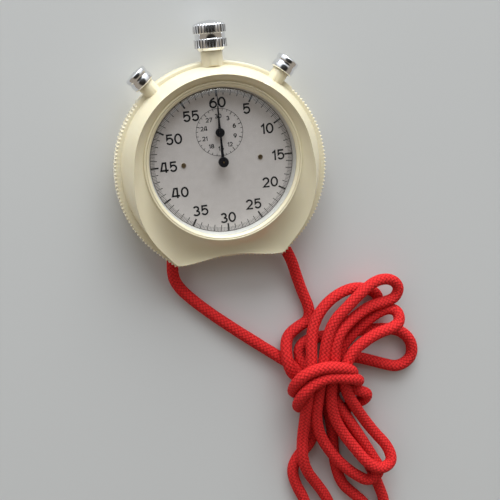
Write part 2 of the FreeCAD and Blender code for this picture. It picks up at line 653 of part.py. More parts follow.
def make_fourth_wheel():
    """Fourth wheel on the long seconds arbor, with the pinion that drives the minute recorder."""
    arbor_top = "seconds_hand_z + 1.1"
    wheel = turned_body("fourth_wheel",
                        [(0, "bridge_z + bridge_thick - 0.5"), (0.25, "bridge_z + bridge_thick - 0.5"),
                         (0.25, arbor_top), (0, arbor_top)],
                        [(0, 3.2), (0.4, 3.2), (0.4, 5.45), (0, 5.45)],
                        [(0, 5.0), (tip_radius(80, THIRD_MODULE), 5.0),
                         (tip_radius(80, THIRD_MODULE), 5.25), (0, 5.25)],
                        [(0, 3.6), (tip_radius(10, THIRD_MODULE), 3.6),
                         (tip_radius(10, THIRD_MODULE), 4.05), (0, 4.05)],
                        [(0, 7.3), (tip_radius(8, RECORDER_MODULE), 7.3),
                         (tip_radius(8, RECORDER_MODULE), 7.75), (0, 7.75)])
    add_teeth(wheel, "fourth_80", 80, THIRD_MODULE, 5.0, 0.25)
    add_teeth(wheel, "fourth_10", 10, THIRD_MODULE, 3.6, 0.45)
    add_teeth(wheel, "fourth_8", 8, RECORDER_MODULE, 7.3, 0.45)
    finish_part(wheel, "fourth_wheel", (0, 0, 0), about_z(seconds_phase))


make_fourth_wheel()
intermediate = turned_body("recorder_intermediate_wheel",
                           [(0, 6.7), (0.2, 6.7), (0.2, 9.3), (0, 9.3)],
                           [(0, 7.4), (tip_radius(48, RECORDER_MODULE), 7.4),
                            (tip_radius(48, RECORDER_MODULE), 7.65), (0, 7.65)],
                           [(0, 7.6), (tip_radius(10, RECORDER_MODULE), 7.6),
                            (tip_radius(10, RECORDER_MODULE), 8.55), (0, 8.55)])
add_teeth(intermediate, "intermediate_48", 48, RECORDER_MODULE, 7.4, 0.25)
add_teeth(intermediate, "intermediate_10", 10, RECORDER_MODULE, 7.65, 0.9)
finish_part(intermediate, "recorder_intermediate_wheel", (*INTERMEDIATE, 0), about_z(intermediate_phase))

minute = turned_body("minute_wheel", [(0, 6.7), (0.2, 6.7), (0.2, 11.1), (0, 11.1)],
                     [(0, 8.2), (tip_radius(50, RECORDER_MODULE), 8.2),
                      (tip_radius(50, RECORDER_MODULE), 8.5), (0, 8.5)])
add_teeth(minute, "minute_50", 50, RECORDER_MODULE, 8.2, 0.3)
finish_part(minute, "minute_wheel", (*RECORDER, 0), about_z(minute_phase))

# ---------------------------------------------------------------- barrel and winding work

barrel = turned_body("barrel_drum", [
    (1.05, 3.0), (tip_radius(80, BARREL_MODULE), 3.0), (tip_radius(80, BARREL_MODULE), 3.45),
    (6.9, 3.45), (6.9, 4.4), (1.05, 4.4), (1.05, 4.2), (6.6, 4.2), (6.6, 3.2), (1.05, 3.2)])
add_teeth(barrel, "barrel_80", 80, BARREL_MODULE, 3.0, 0.45)
finish_part(barrel, "barrel_drum", (*BARREL, 0), about_z(barrel_phase))
finish_part(turned_body("barrel_arbor", [
    (0, 2.0), (0.6, 2.0), (0.6, 2.95), (1.0, 2.95), (1.0, 4.5), (0.8, 4.5), (0.8, 7.9), (0, 7.9)]),
    "barrel_arbor", (*BARREL, 0))
finish_part(shaped("mainspring", flat_spiral(1.25, 6.3, 9, 0.18, 3.25, 4.15)), "mainspring", (*BARREL, 0))

ratchet = turned_body("ratchet_wheel", ring_profile(0.8, tip_radius(RATCHET_TEETH, WINDING_MODULE), 7.35, 7.75))
add_teeth(ratchet, "ratchet_teeth", RATCHET_TEETH, WINDING_MODULE, 7.35, 0.4)
finish_part(ratchet, "ratchet_wheel", (*BARREL, 0), about_z(0))
crown_wheel = turned_body("crown_wheel",
                          ring_profile(0.75, tip_radius(CROWN_WHEEL_TEETH, WINDING_MODULE), 7.35, 7.75))
add_teeth(crown_wheel, "crown_wheel_teeth", CROWN_WHEEL_TEETH, WINDING_MODULE, 7.35, 0.4)
finish_part(crown_wheel, "crown_wheel", (*CROWN_WHEEL, 0),
            about_z(meshed_phase(BARREL, 0, RATCHET_TEETH, CROWN_WHEEL, CROWN_WHEEL_TEETH)))
finish_part(turned_body("crown_wheel_core", [(0, 6.4), (0.68, 6.4), (0.68, 7.78), (0, 7.78)]),
            "crown_wheel_core", (*CROWN_WHEEL, 0))

CLICK_PIVOT = beside(BARREL, 6.2, 155)
click_tip = beside(BARREL, tip_radius(RATCHET_TEETH, WINDING_MODULE) + 0.08, 175)


def strip(start, stop, width, low, high):
    """Straight flat arm between two places in plan."""
    run = Vector(*stop, 0) - Vector(*start, 0)
    arm = Part.makeBox(run.Length, width, high - low, Vector(0, -width / 2, 0))
    arm.rotate(Vector(), Vector(0, 0, 1), math.degrees(math.atan2(run.y, run.x)))
    return arm.translated(Vector(*start, low))


def bar(label, points, width, low, high, post=None, hole=0.4, boss=0.9):
    """Flat lever along a broken line of points, with a round boss and hole at its pivot."""
    pieces = [strip(start, stop, width, low, high) for start, stop in zip(points, points[1:])]
    for point in points[:-1]:
        pieces.append(cylinder(width / 2, (*point, low), (*point, high)))
    if post:
        pieces.append(cylinder(boss, (*post, low), (*post, high)))
    lever = pieces[0].fuse(pieces[1:])
    if post:
        lever = lever.cut(cylinder(hole, (*post, low - 1), (*post, high + 1)))
    return finish_part(shaped(label, lever.removeSplitter()), label)


bar("click", [CLICK_PIVOT, click_tip], 0.7, 7.35, 7.75, CLICK_PIVOT, 0.4, 0.9)
bar("click_spring", [beside(BARREL, 7.0, 205), beside(BARREL, 7.25, 180), beside(BARREL, 7.3, 166)],
    0.3, 7.35, 7.75)

# ---------------------------------------------------------------- escapement and balance

escape = turned_body("escape_wheel",
                     [(0, 2.9), (0.3, 2.9), (0.3, 5.5), (0, 5.5)],
                     [(0, 2.3), (0.12, 2.3), (0.12, 6.1), (0, 6.1)],
                     [(0, 4.3), (2.2, 4.3), (2.2, 4.55), (0, 4.55)],
                     [(0, 4.95), (tip_radius(8, THIRD_MODULE), 4.95), (tip_radius(8, THIRD_MODULE), 5.35),
                      (0, 5.35)])
add_teeth(escape, "escape_8", 8, THIRD_MODULE, 4.95, 0.4)
cut_pattern(escape, "escape_15", 15, [(1.55, 0.1), (2.4, 0.0), (2.32, 0.62), (1.62, 0.5)], 4.3, 0.25)
finish_part(escape, "escape_wheel", (*ESCAPE, 0), about_z(escape_phase))


def make_pallet_fork():
    toward_balance = bearing(PALLET, BALANCE)
    low, high = 4.3, 4.55
    arm_ends = [beside(ESCAPE, 2.7, toward_balance + turn) for turn in (-52, 52)]
    pieces = [cylinder(0.5, (*PALLET, low), (*PALLET, high)),
              cylinder(0.25, (*PALLET, 2.9), (*PALLET, 5.5)), cylinder(0.12, (*PALLET, 2.3), (*PALLET, 6.1))]
    tail = beside(PALLET, 3.2, toward_balance)
    pieces += [strip(PALLET, stop, 0.4, low, high) for stop in (*arm_ends, tail)]
    finish_part(shaped("pallet_fork", pieces[0].fuse(pieces[1:]).removeSplitter()), "pallet_fork")


make_pallet_fork()
BALANCE_RADIUS = 4.7


def make_balance():
    x, y = BALANCE
    rim = cylinder(BALANCE_RADIUS, (x, y, 3.2), (x, y, 3.9)).cut(
        cylinder(BALANCE_RADIUS - 0.7, (x, y, 3), (x, y, 4)))
    arm = Part.makeBox(2 * BALANCE_RADIUS - 0.6, 0.6, 0.35, Vector(x - BALANCE_RADIUS + 0.3, y - 0.3, 3.35))
    hub = cylinder(0.8, (x, y, 3.25), (x, y, 3.8))
    wheel = rim.fuse([arm, hub]).cut(cylinder(0.3, (x, y, 3), (x, y, 4)))
    finish_part(shaped("balance_wheel", wheel.removeSplitter()), "balance_wheel")
    finish_part(turned_body("balance_staff", [
        (0, 2.3), (0.12, 2.3), (0.12, 2.85), (0.3, 2.85), (0.3, 4.2), (1.3, 4.2), (1.3, 4.5),
        (0.3, 4.5), (0.3, 5.4), (0.12, 5.4), (0.12, 6.1), (0, 6.1)]), "balance_staff", (*BALANCE, 0))
    finish_part(shaped("hairspring", flat_spiral(0.45, 3.4, 9, 0.07, 2.92, 3.1)), "hairspring", (*BALANCE, 0))


make_balance()

# ---------------------------------------------------------------- recorder hearts and levers


def make_heart(label, place, inner, outer, bore, low, high):
    """Heart cam: its radius grows evenly from the low point to the point, on both sides."""
    points = []
    for degrees in range(-180, 180, 10):
        radius = inner + (outer - inner) * abs(degrees) / 180
        angle = math.radians(degrees)
        points.append(Vector(radius * math.cos(angle), radius * math.sin(angle), low))
    cam = Part.Face(Part.makePolygon(points + points[:1])).extrude(Vector(0, 0, high - low))
    cam = cam.cut(cylinder(bore, (0, 0, low - 1), (0, 0, high + 1)))
    finish_part(shaped(label, cam), label, (*place, 0))


make_heart("seconds_heart", CENTRE, 0.6, 1.6, 0.25, 8.7, 9.2)
make_heart("minute_heart", RECORDER, 0.5, 1.4, 0.2, 8.7, 9.2)

LEVER_LOW, LEVER_HIGH = 8.0, 8.5
HAMMER_LOW, HAMMER_HIGH = 8.7, 9.2
OPERATING_PIVOT = (6.2, 15.6)
HAMMER_PIVOT = (7.8, -6.8)
BRAKE_PIVOT = (-14.5, -2.0)
COLUMN_WHEEL = (7.0, 9.5)
BRAKE_PIN = (7.1, -3.2)
POST_RADIUS = 0.35
POST_HOLE = POST_RADIUS + 0.05


def pusher_end(side, radius):
    direction = pusher_direction(side)
    return (direction[0] * radius, direction[1] * radius)


bar("operating_lever", [(-0.6, 13.55), OPERATING_PIVOT, (3.9, 10.2)], 0.7, LEVER_LOW, LEVER_HIGH,
    OPERATING_PIVOT, POST_HOLE, 1.0)
column = turned_body("column_wheel", ring_profile(POST_HOLE, 1.8, 7.4, 7.7), ring_profile(POST_HOLE, 1.2, 7.7, 8.3))
cut_pattern(column, "column_ratchet", 12, [(1.45, 0.05), (1.95, 0.0), (1.9, 0.45), (1.5, 0.4)], 7.4, 0.3)
cut_pattern(column, "column_gap", 6, [(0.85, -0.2), (1.4, -0.3), (1.4, 0.3), (0.85, 0.2)], 7.7, 0.6)
finish_part(column, "column_wheel", (*COLUMN_WHEEL, 0))


def make_hammer():
    """Two-headed reset hammer: one arm to the pusher, one head beside each heart."""
    tail = pusher_end("right", 15.3)
    slant = (tail[0] - HAMMER_PIVOT[0]) / (tail[1] - HAMMER_PIVOT[1])
    arms = [strip(HAMMER_PIVOT, tail, 0.8, HAMMER_LOW, HAMMER_HIGH)]
    for x, y in ((3.2, 0.0), (4.1, 8.0)):
        on_the_arm = (HAMMER_PIVOT[0] + slant * (y - HAMMER_PIVOT[1]), y)
        arms.append(strip(on_the_arm, (x, y), 0.8, HAMMER_LOW, HAMMER_HIGH))
    for x, y in ((2.8, 0.0), (3.75, 8.0)):
        arms.append(Part.makeBox(0.7, 2.4, HAMMER_HIGH - HAMMER_LOW, Vector(x, y - 1.2, HAMMER_LOW)))
    arms.append(cylinder(1.0, (*HAMMER_PIVOT, HAMMER_LOW), (*HAMMER_PIVOT, HAMMER_HIGH)))
    hammer = arms[0].fuse(arms[1:]).cut(cylinder(POST_HOLE, (*HAMMER_PIVOT, 0), (*HAMMER_PIVOT, 10)))
    finish_part(shaped("reset_hammer", hammer.removeSplitter()), "reset_hammer")


make_hammer()


def make_brake_lever():
    """Long lever from the left pusher; its pin reaches through the mainplate to the balance rim."""
    points = [pusher_end("left", 15.3), BRAKE_PIVOT, BRAKE_PIN]
    pieces = [cylinder(0.3, (*BRAKE_PIN, 3.3), (*BRAKE_PIN, LEVER_HIGH)),
              cylinder(1.0, (*BRAKE_PIVOT, LEVER_LOW), (*BRAKE_PIVOT, LEVER_HIGH)),
              cylinder(0.45, (*BRAKE_PIN, LEVER_LOW), (*BRAKE_PIN, LEVER_HIGH))]
    pieces += [strip(start, stop, 0.8, LEVER_LOW, LEVER_HIGH) for start, stop in zip(points, points[1:])]
    lever = pieces[0].fuse(pieces[1:]).cut(cylinder(POST_HOLE, (*BRAKE_PIVOT, 0), (*BRAKE_PIVOT, 10)))
    finish_part(shaped("brake_lever", lever.removeSplitter()), "brake_lever")


make_brake_lever()


def make_posts():
    """Shouldered studs on the mainplate that carry the levers, the column wheel and the click."""
    plate_top = size("plate_z + plate_thick")
    posts = []
    for place, low, high in ((OPERATING_PIVOT, LEVER_LOW, LEVER_HIGH), (COLUMN_WHEEL, 7.4, 8.3),
                             (HAMMER_PIVOT, HAMMER_LOW, HAMMER_HIGH), (BRAKE_PIVOT, LEVER_LOW, LEVER_HIGH),
                             (CLICK_PIVOT, 7.35, 7.75)):
        stud = cylinder(POST_RADIUS, (*place, plate_top), (*place, high + 0.2))
        shoulder = cylinder(0.7, (*place, plate_top), (*place, low - 0.05))
        head = cylinder(0.65, (*place, high + 0.04), (*place, high + 0.2))
        posts.append(stud.fuse([shoulder, head]).removeSplitter())
    finish_part(shaped("lever_posts", Part.makeCompound(posts)), "lever_posts")


make_posts()

# ---------------------------------------------------------------- plate, bridges, jewels, screws

JEWEL_OUTER, JEWEL_HOLE, CENTRE_JEWEL_HOLE = 0.55, 0.2, 0.3
BARREL_PILLARS = [(3.0, 15.6), (-16.8, 6.6), (6.4, 7.6)]
TRAIN_PILLARS = [(-14.5, -5.5), (8.0, 2.5), (-3.0, -9.5)]
COCK_PILLARS = [(17.0, -5.5), (2.5, -15.5)]
SCREW_RADIUS = 0.4
BRIDGES = [
    ("barrel_bridge", BARREL_PILLARS, [(BARREL, 0.65)],
     [(-18.6, 4.8), (-15.5, 12.5), (-7, 18.6), (4.5, 18.6), (8.5, 9.0), (7.6, 6.3), (-2.0, 6.3)]),
    ("train_bridge", TRAIN_PILLARS, [(place, JEWEL_OUTER) for place in (SECOND, THIRD, CENTRE, ESCAPE, PALLET)],
     [(-18.5, 3.8), (-2.2, 5.3), (9.5, 4.3), (9.5, 0.8), (6.4, -5.8), (6.4, -8.0), (3.0, -8.2),
      (-1.0, -11.2), (-5.0, -11.2), (-16.5, -7.5)]),
    ("balance_cock", COCK_PILLARS, [(BALANCE, JEWEL_OUTER)],
     [(18.8, -4.0), (15.0, -2.6), (8.0, -9.0), (1.0, -14.0), (1.5, -17.5), (5.0, -17.5), (10.5, -12.5),
      (18.5, -8.0)]),
]


def make_bridges():
    low, thick = size("bridge_z"), size("bridge_thick")
    for label, pillars, holes, corners in BRIDGES:
        bridge = flat_body(label, "bridge_thick", [corners])
        feet = new_sketch(bridge, "XY_Plane", f"{label}_feet")
        for x, y in pillars:
            add_circle(feet, x, y, 0.95)
        pad = bridge.newObject("PartDesign::Pad", f"{label}_feet_pad")
        pad.Profile = feet
        pad.setExpression("Length", bound("plate_z - bridge_z"))
        bores = new_sketch(bridge, "XY_Plane", f"{label}_bores")
        for (x, y), radius in holes + [(place, SCREW_RADIUS) for place in pillars]:
            add_circle(bores, x, y, radius)
        doc.recompute()
        before = bridge.Shape.Volume
        pocket = bridge.newObject("PartDesign::Pocket", f"{label}_bores_cut")
        pocket.Profile = bores
        pocket.Type = "ThroughAll"
        pocket.Reversed = True
        doc.recompute()
        if not bridge.Shape.Volume < before:
            raise SystemExit(f"{label} has no holes")
        finish_part(bridge, label, (0, 0, "bridge_z"))


def make_mainplate():
    jewelled = [(place, JEWEL_OUTER) for place in (SECOND, THIRD, CENTRE, ESCAPE, PALLET, BALANCE)]
    screwed = [(place, SCREW_RADIUS) for place in BARREL_PILLARS + TRAIN_PILLARS + COCK_PILLARS]
    others = [(BARREL, 0.85), (INTERMEDIATE, 0.25), (RECORDER, 0.25), (CROWN_WHEEL, 0.68),
              ((-10.8, 0), 0.33), ((10.8, 0), 0.33)]
    plate = flat_body("mainplate", "plate_thick", circles=[(0, 0, "plate_radius")] + [
        (place[0], place[1], radius) for place, radius in jewelled + screwed + others])
    # slot for the brake pin's swing
    slot = new_sketch(plate, "XY_Plane", "brake_slot")
    x, y = BRAKE_PIN
    add_loop(slot, [(x - 0.85, y + 0.55), (x - 0.95, y - 3.2), (x + 0.5, y - 3.2), (x + 0.6, y + 0.55)])
    pocket = plate.newObject("PartDesign::Pocket", "brake_slot_cut")
    pocket.Profile = slot
    pocket.Type = "ThroughAll"
    pocket.Reversed = True
    before = plate.Shape.Volume
    doc.recompute()
    if not plate.Shape.Volume < before - 1:
        raise SystemExit("the brake slot cuts nothing")
    finish_part(plate, "mainplate", (0, 0, "plate_z"))


make_bridges()
make_mainplate()


def make_jewels():
    stones = []
    for place in (SECOND, THIRD, CENTRE, ESCAPE, PALLET, BALANCE):
        hole = CENTRE_JEWEL_HOLE if place == CENTRE else JEWEL_HOLE
        for low in (size("bridge_z + 0.1"), size("plate_z + 0.2")):
            stone = cylinder(JEWEL_OUTER, (*place, low), (*place, low + 0.8))
            stones.append(stone.cut(cylinder(hole, (*place, low - 1), (*place, low + 2))))
    finish_part(shaped("pivot_jewels", Part.makeCompound(stones)), "pivot_jewels")


def screw(head_radius, head_thick, shank_radius, shank_length):
    """Slotted screw with its head below the origin and its shank along +Z."""
    head = cylinder(head_radius, (0, 0, -head_thick), (0, 0, 0))
    slot = Part.makeBox(2 * head_radius + 1, 0.2, head_thick, Vector(-head_radius - 0.5, -0.1, -1.5 * head_thick))
    return head.cut(slot).fuse(cylinder(shank_radius, (0, 0, 0), (0, 0, shank_length)))


make_jewels()
group("bridge_screws", screw(0.8, 0.35, SCREW_RADIUS, 4.7),
      [(x, y, size("bridge_z")) for x, y in BARREL_PILLARS + TRAIN_PILLARS + COCK_PILLARS])
group("case_screws", screw(1.5, 0.9, 0.8, size("seam_z") - 1.0 + CASE_SCREW_GRIP),
      [(x, y, 1.0) for x, y in CASE_SCREWS])
regulator = [BALANCE, beside(BALANCE, 3.4, 70)]
bar("regulator", regulator, 0.5, 1.5, 1.75, BALANCE, 0.6, 1.0)


def make_movement_ring():
    """Ring that centres the movement; its flange rests on the back shell and carries the dial."""
    low, top, flange = size("back_wall"), size("dial_z - dial_thick"), size("seam_z")
    outer = size("cavity_radius") - 0.05
    ring = cylinder(outer, (0, 0, low), (0, 0, top))
    ring = ring.fuse(cylinder(size("rim_outer") - 0.05, (0, 0, flange), (0, 0, size("rim_z") - 3.02)))
    ring = ring.cut([cylinder(size("plate_radius") + 0.05, (0, 0, 0), (0, 0, top)),
                     cylinder(size("dial_radius") + 0.22, (0, 0, top), (0, 0, 20))])
    ring = ring.cut([neck_rod(direction, 1.3, 15, 24) for direction, outer, bore, step, end in NECKS])
    finish_part(shaped("movement_ring", ring.removeSplitter()), "movement_ring")


make_movement_ring()

# ---------------------------------------------------------------- check and export

doc.recompute()
for thing in doc.Objects:
    if "Invalid" in thing.State or "Error" in thing.State:
        raise SystemExit(f"{thing.Label} failed: {thing.State}")
os.makedirs("parts", exist_ok=True)
for part in parts:
    if part.Shape.isNull() or not part.Shape.isValid() or not part.Shape.Solids:
        raise SystemExit(f"{part.Label} has no valid shape")
    part.Shape.exportStep(f"parts/{part.Label}.step")
print(len(parts), "sub-parts written")
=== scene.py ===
"""Looks of a mechanical stopwatch on a braided neck cord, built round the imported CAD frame.

Lengths are millimetres in the part's frame (dial facing +Z, crown towards +Y) and become metres
when a mesh is made. Every material is procedural.
"""
import math

import bmesh
import bpy
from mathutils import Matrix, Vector


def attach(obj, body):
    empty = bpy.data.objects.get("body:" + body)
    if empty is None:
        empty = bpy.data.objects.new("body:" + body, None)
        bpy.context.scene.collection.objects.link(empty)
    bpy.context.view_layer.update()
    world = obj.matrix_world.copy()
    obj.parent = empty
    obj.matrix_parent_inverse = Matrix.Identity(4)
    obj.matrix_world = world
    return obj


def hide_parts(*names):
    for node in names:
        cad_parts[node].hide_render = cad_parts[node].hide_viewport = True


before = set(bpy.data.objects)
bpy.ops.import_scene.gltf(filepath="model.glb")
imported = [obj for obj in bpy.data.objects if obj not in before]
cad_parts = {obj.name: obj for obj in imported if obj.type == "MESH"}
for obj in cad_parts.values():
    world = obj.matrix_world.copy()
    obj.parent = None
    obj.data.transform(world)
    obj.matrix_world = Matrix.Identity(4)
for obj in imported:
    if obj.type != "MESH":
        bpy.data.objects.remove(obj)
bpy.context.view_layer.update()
MM = 0.001
LEAST_RADIUS = 1e-4


# ---------------------------------------------------------------- mesh helpers

def mesh_object(name, verts, faces, material, body="root", slot=None, smooth=True):
    """Mesh piece from millimetre vertices, riding on a CAD body."""
    mesh = bpy.data.meshes.new(name)
    mesh.from_pydata([Vector(v) * MM for v in verts], [], faces)
    mesh.update()
    for polygon in mesh.polygons:
        polygon.use_smooth = smooth
    piece = bpy.data.objects.new(name, mesh)
    bpy.context.collection.objects.link(piece)
    mesh.materials.append(material)
    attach(piece, body)
    return piece


def ring_faces(ring_count, around, closed=False):
    """Quads between neighbouring rings of equal length; closed joins the last ring to the first."""
    faces = []
    for ring in range(ring_count if closed else ring_count - 1):
        low, high = ring * around, (ring + 1) % ring_count * around
        for k in range(around):
            after = (k + 1) % around
            faces.append((low + k, low + after, high + after, high + k))
    return faces


def face_outward(piece):
    """Turn every face of a closed mesh outward."""
    work = bmesh.new()
    work.from_mesh(piece.data)
    bmesh.ops.recalc_face_normals(work, faces=work.faces)
    work.to_mesh(piece.data)
    work.free()


def sharpen(piece, degrees):
    """Turn the faces outward and keep edges above an angle crisp while the rest stays smooth."""
    face_outward(piece)
    limit = math.radians(degrees)
    work = bmesh.new()
    work.from_mesh(piece.data)
    for edge in work.edges:
        if len(edge.link_faces) == 2 and edge.calc_face_angle(0) > limit:
            edge.smooth = False
    work.to_mesh(piece.data)
    work.free()


def lathe(name, profile, around, material, axis=(0, 0, 1), centre=(0, 0, 0), flute=None, **options):
    """Closed turned piece: profile is (radius, height along the axis) or (radius, height, flute share).

    flute is (count, depth): V grooves that run along the axis where the flute share is above 0.
    """
    up = Vector(axis).normalized()
    side = Vector((0, 0, 1)) if abs(up.z) < 0.9 else up.orthogonal().normalized()
    across = up.cross(side)
    verts = []
    for radius, height, *share in profile:
        for k in range(around):
            angle = 2 * math.pi * k / around
            reach = radius
            if flute and share:
                reach -= flute[1] * share[0] * max(0, math.cos(flute[0] * angle))
            verts.append(Vector(centre) + up * height
                         + (side * math.cos(angle) + across * math.sin(angle)) * max(reach, LEAST_RADIUS))
    piece = mesh_object(name, verts, ring_faces(len(profile), around, closed=True), material, **options)
    work = bmesh.new()
    work.from_mesh(piece.data)
    bmesh.ops.remove_doubles(work, verts=work.verts, dist=2 * LEAST_RADIUS * MM)
    bmesh.ops.recalc_face_normals(work, faces=work.faces)
    work.to_mesh(piece.data)
    work.free()
    return piece


def ray(degrees):
    """Unit direction in the dial's plane, clockwise from the crown."""
    angle = math.radians(degrees)
    return Vector((math.sin(angle), math.cos(angle)))


def smoothstep(low, high, value):
    """Smooth rise from 0 at one value to 1 at another."""
    share = min(1, max(0, (value - low) / (high - low)))
    return share * share * (3 - 2 * share)


# ---------------------------------------------------------------- materials

def nodes_of(material):
    """Node tree and shader of a material."""
    tree = material.node_tree
    return tree, tree.nodes["Principled BSDF"]


def base_material(name, colour, roughness, **inputs):
    """Principled material; further inputs are given by socket name with underscores for spaces."""
    material = bpy.data.materials.new(name)
    material.use_nodes = True
    tree, shader = nodes_of(material)
    shader.inputs["Base Color"].default_value = (*colour, 1)
    shader.inputs["Roughness"].default_value = roughness
    for socket, value in inputs.items():
        shader.inputs[socket.replace("_", " ")].default_value = value
    material.diffuse_color = (*colour, 1)
    return material


def mottle(material, scale, colours):
    """Base colour that drifts between two tones with a noise in the object's own space."""
    tree, shader = nodes_of(material)
    place = tree.nodes.new("ShaderNodeTexCoord")
    noise = tree.nodes.new("ShaderNodeTexNoise")
    noise.inputs["Scale"].default_value = scale
    noise.inputs["Detail"].default_value = 3.0
    ramp = tree.nodes.new("ShaderNodeValToRGB")
    for stop, position, colour in zip(ramp.color_ramp.elements, (0.35, 0.65), colours):
        stop.position = position
        stop.color = (*colour, 1)
    tree.links.new(place.outputs["Object"], noise.inputs["Vector"])
    tree.links.new(noise.outputs["Fac"], ramp.inputs["Fac"])
    tree.links.new(ramp.outputs["Color"], shader.inputs["Base Color"])


def roughen(material, scale, low, high, stretch=(1, 1, 1)):
    """Roughness that varies between two values; stretch draws the noise out into a grain.

    Returns the noise's own value, for a bump that follows it.
    """
    tree, shader = nodes_of(material)
    place = tree.nodes.new("ShaderNodeTexCoord")
    turn = tree.nodes.new("ShaderNodeMapping")
    turn.inputs["Scale"].default_value = stretch
    noise = tree.nodes.new("ShaderNodeTexNoise")
    noise.inputs["Scale"].default_value = scale
    spread = tree.nodes.new("ShaderNodeMapRange")
    spread.inputs["To Min"].default_value = low
    spread.inputs["To Max"].default_value = high
    tree.links.new(place.outputs["Object"], turn.inputs["Vector"])
    tree.links.new(turn.outputs["Vector"], noise.inputs["Vector"])
    tree.links.new(noise.outputs["Fac"], spread.inputs["Value"])
    tree.links.new(spread.outputs["Result"], shader.inputs["Roughness"])
    return noise.outputs["Fac"]


def emboss(material, height, strength, depth):
    """Bump from a height socket; depth is in millimetres."""
    tree, shader = nodes_of(material)
    bump = tree.nodes.new("ShaderNodeBump")
    bump.inputs["Strength"].default_value = strength
    bump.inputs["Distance"].default_value = depth * MM
    tree.links.new(height, bump.inputs["Height"])
    tree.links.new(bump.outputs["Normal"], shader.inputs["Normal"])


def plastic_material():
    """Ivory moulded plastic with a faint skin and a soft gloss."""
    material = base_material("case_plastic", (0.80, 0.715, 0.51), 0.3, Specular_IOR_Level=0.5,
                             Coat_Weight=0.3, Coat_Roughness=0.15, Subsurface_Weight=0.08,
                             Subsurface_Radius=(0.004, 0.003, 0.0015))
    mottle(material, 60, ((0.79, 0.705, 0.495), (0.81, 0.725, 0.525)))
    grain = roughen(material, 900, 0.27, 0.38)
    emboss(material, grain, 0.1, 0.02)
    return material


def braid_material():
    """Round braid: a diagonal basket weave in the tube's own unrolled coordinates, with painted shade that
    darkens the base colour in the gaps between the yarns.
    """
    material = base_material("cord_red", (0.62, 0.02, 0.02), 0.85, Specular_IOR_Level=0.12)
    tree, shader = nodes_of(material)

    def calc(operation, first, second=None):
        node = tree.nodes.new("ShaderNodeMath")
        node.operation = operation
        for socket, value in zip(node.inputs, (first, second)):
            if value is None:
                continue
            if isinstance(value, (int, float)):
                socket.default_value = value
            else:
                tree.links.new(value, socket)
        return node.outputs["Value"]

    unrolled = tree.nodes.new("ShaderNodeUVMap")
    unrolled.uv_map = "braid"
    split = tree.nodes.new("ShaderNodeSeparateXYZ")
    tree.links.new(unrolled.outputs["UV"], split.inputs["Vector"])
    left = calc("ADD", split.outputs["X"], split.outputs["Y"])
    right = calc("SUBTRACT", split.outputs["X"], split.outputs["Y"])
    cell = calc("ADD", calc("FLOOR", left), calc("FLOOR", right))
    over = calc("ABSOLUTE", calc("MODULO", cell, 2))
    left_yarn = calc("ABSOLUTE", calc("SINE", calc("MULTIPLY", left, math.pi)))
    right_yarn = calc("ABSOLUTE", calc("SINE", calc("MULTIPLY", right, math.pi)))
    above = calc("MULTIPLY", over, left_yarn)
    below = calc("MULTIPLY", calc("SUBTRACT", 1, over), right_yarn)
    crossing = calc("ADD", 0.6, calc("MULTIPLY", 0.4, calc("MULTIPLY", left_yarn, right_yarn)))
    yarn = calc("POWER", calc("MULTIPLY", calc("ADD", above, below), crossing), 0.7)
    place = tree.nodes.new("ShaderNodeTexCoord")
    fuzz = tree.nodes.new("ShaderNodeTexNoise")
    fuzz.inputs["Scale"].default_value = 2200
    tree.links.new(place.outputs["Object"], fuzz.inputs["Vector"])
    height = calc("ADD", yarn, calc("MULTIPLY", fuzz.outputs["Fac"], 0.15))
    emboss(material, height, 0.9, 0.22)
    # painted shade: the base colour goes from dark in the gaps between yarns to the bright yarn colour on
    # the crests
    painted_shade_ramp = tree.nodes.new("ShaderNodeValToRGB")
    painted_gap_shade, crest = painted_shade_ramp.color_ramp.elements
    painted_gap_shade.position = 0.1
    painted_gap_shade.color = (0.40, 0.010, 0.012, 1)
    crest.position = 0.8
    crest.color = (0.74, 0.030, 0.030, 1)
    # the yarn's height drives the painted shade in the gaps; the fuzz adds a random change of tone
    light = calc("ADD", calc("MULTIPLY", yarn, 0.85), calc("MULTIPLY", fuzz.outputs["Fac"], 0.2))
    tree.links.new(light, painted_shade_ramp.inputs["Fac"])
    tree.links.new(painted_shade_ramp.outputs["Color"], shader.inputs["Base Color"])
    return material


def metal_material(name, colour, roughness, grain=(1, 1, 1)):
    """Metal whose tone and gloss vary a little; grain stretches the variation one way."""
    material = base_material(name, colour, roughness, Metallic=1.0)
    tones = [tuple(channel * factor for channel in colour) for factor in (0.94, 1.04)]
    mottle(material, 150, tones)
    noise = roughen(material, 400, roughness * 0.75, roughness * 1.3, grain)
    emboss(material, noise, 0.06, 0.01)
    return material


def dial_material():
    """Satin dial with a slight metallic sheen."""
    material = base_material("dial_white", (0.65, 0.605, 0.585), 0.42, Metallic=0.15)
    mottle(material, 500, ((0.635, 0.59, 0.57), (0.665, 0.62, 0.60)))
    grain = roughen(material, 3000, 0.36, 0.5)
    emboss(material, grain, 0.05, 0.01)
    return material


def ink_material(name, roughness):
    """Black ink or lacquer."""
    material = base_material(name, (0.010, 0.010, 0.012), roughness, Specular_IOR_Level=0.3)
    mottle(material, 800, ((0.008, 0.008, 0.010), (0.014, 0.014, 0.016)))
    return material


def gasket_material():
    """Pale grey rubber or nylon of the crystal's tension ring."""
    material = base_material("gasket_rubber", (0.62, 0.61, 0.58), 0.35)
    mottle(material, 900, ((0.60, 0.59, 0.56), (0.64, 0.63, 0.60)))
    return material


def jewel_material():
    """Polished synthetic ruby."""
    material = base_material("jewel_red", (0.6, 0.02, 0.08), 0.08, Coat_Weight=0.6)
    mottle(material, 900, ((0.55, 0.015, 0.07), (0.65, 0.03, 0.09)))
    return material


def crystal_material():
    """Clear crystal: almost see-through, with mirror-like highlights."""
    material = base_material("crystal_clear", (1, 1, 1), 0.03, Metallic=1.0, Alpha=0.03)
    roughen(material, 40, 0.02, 0.05)
    return material


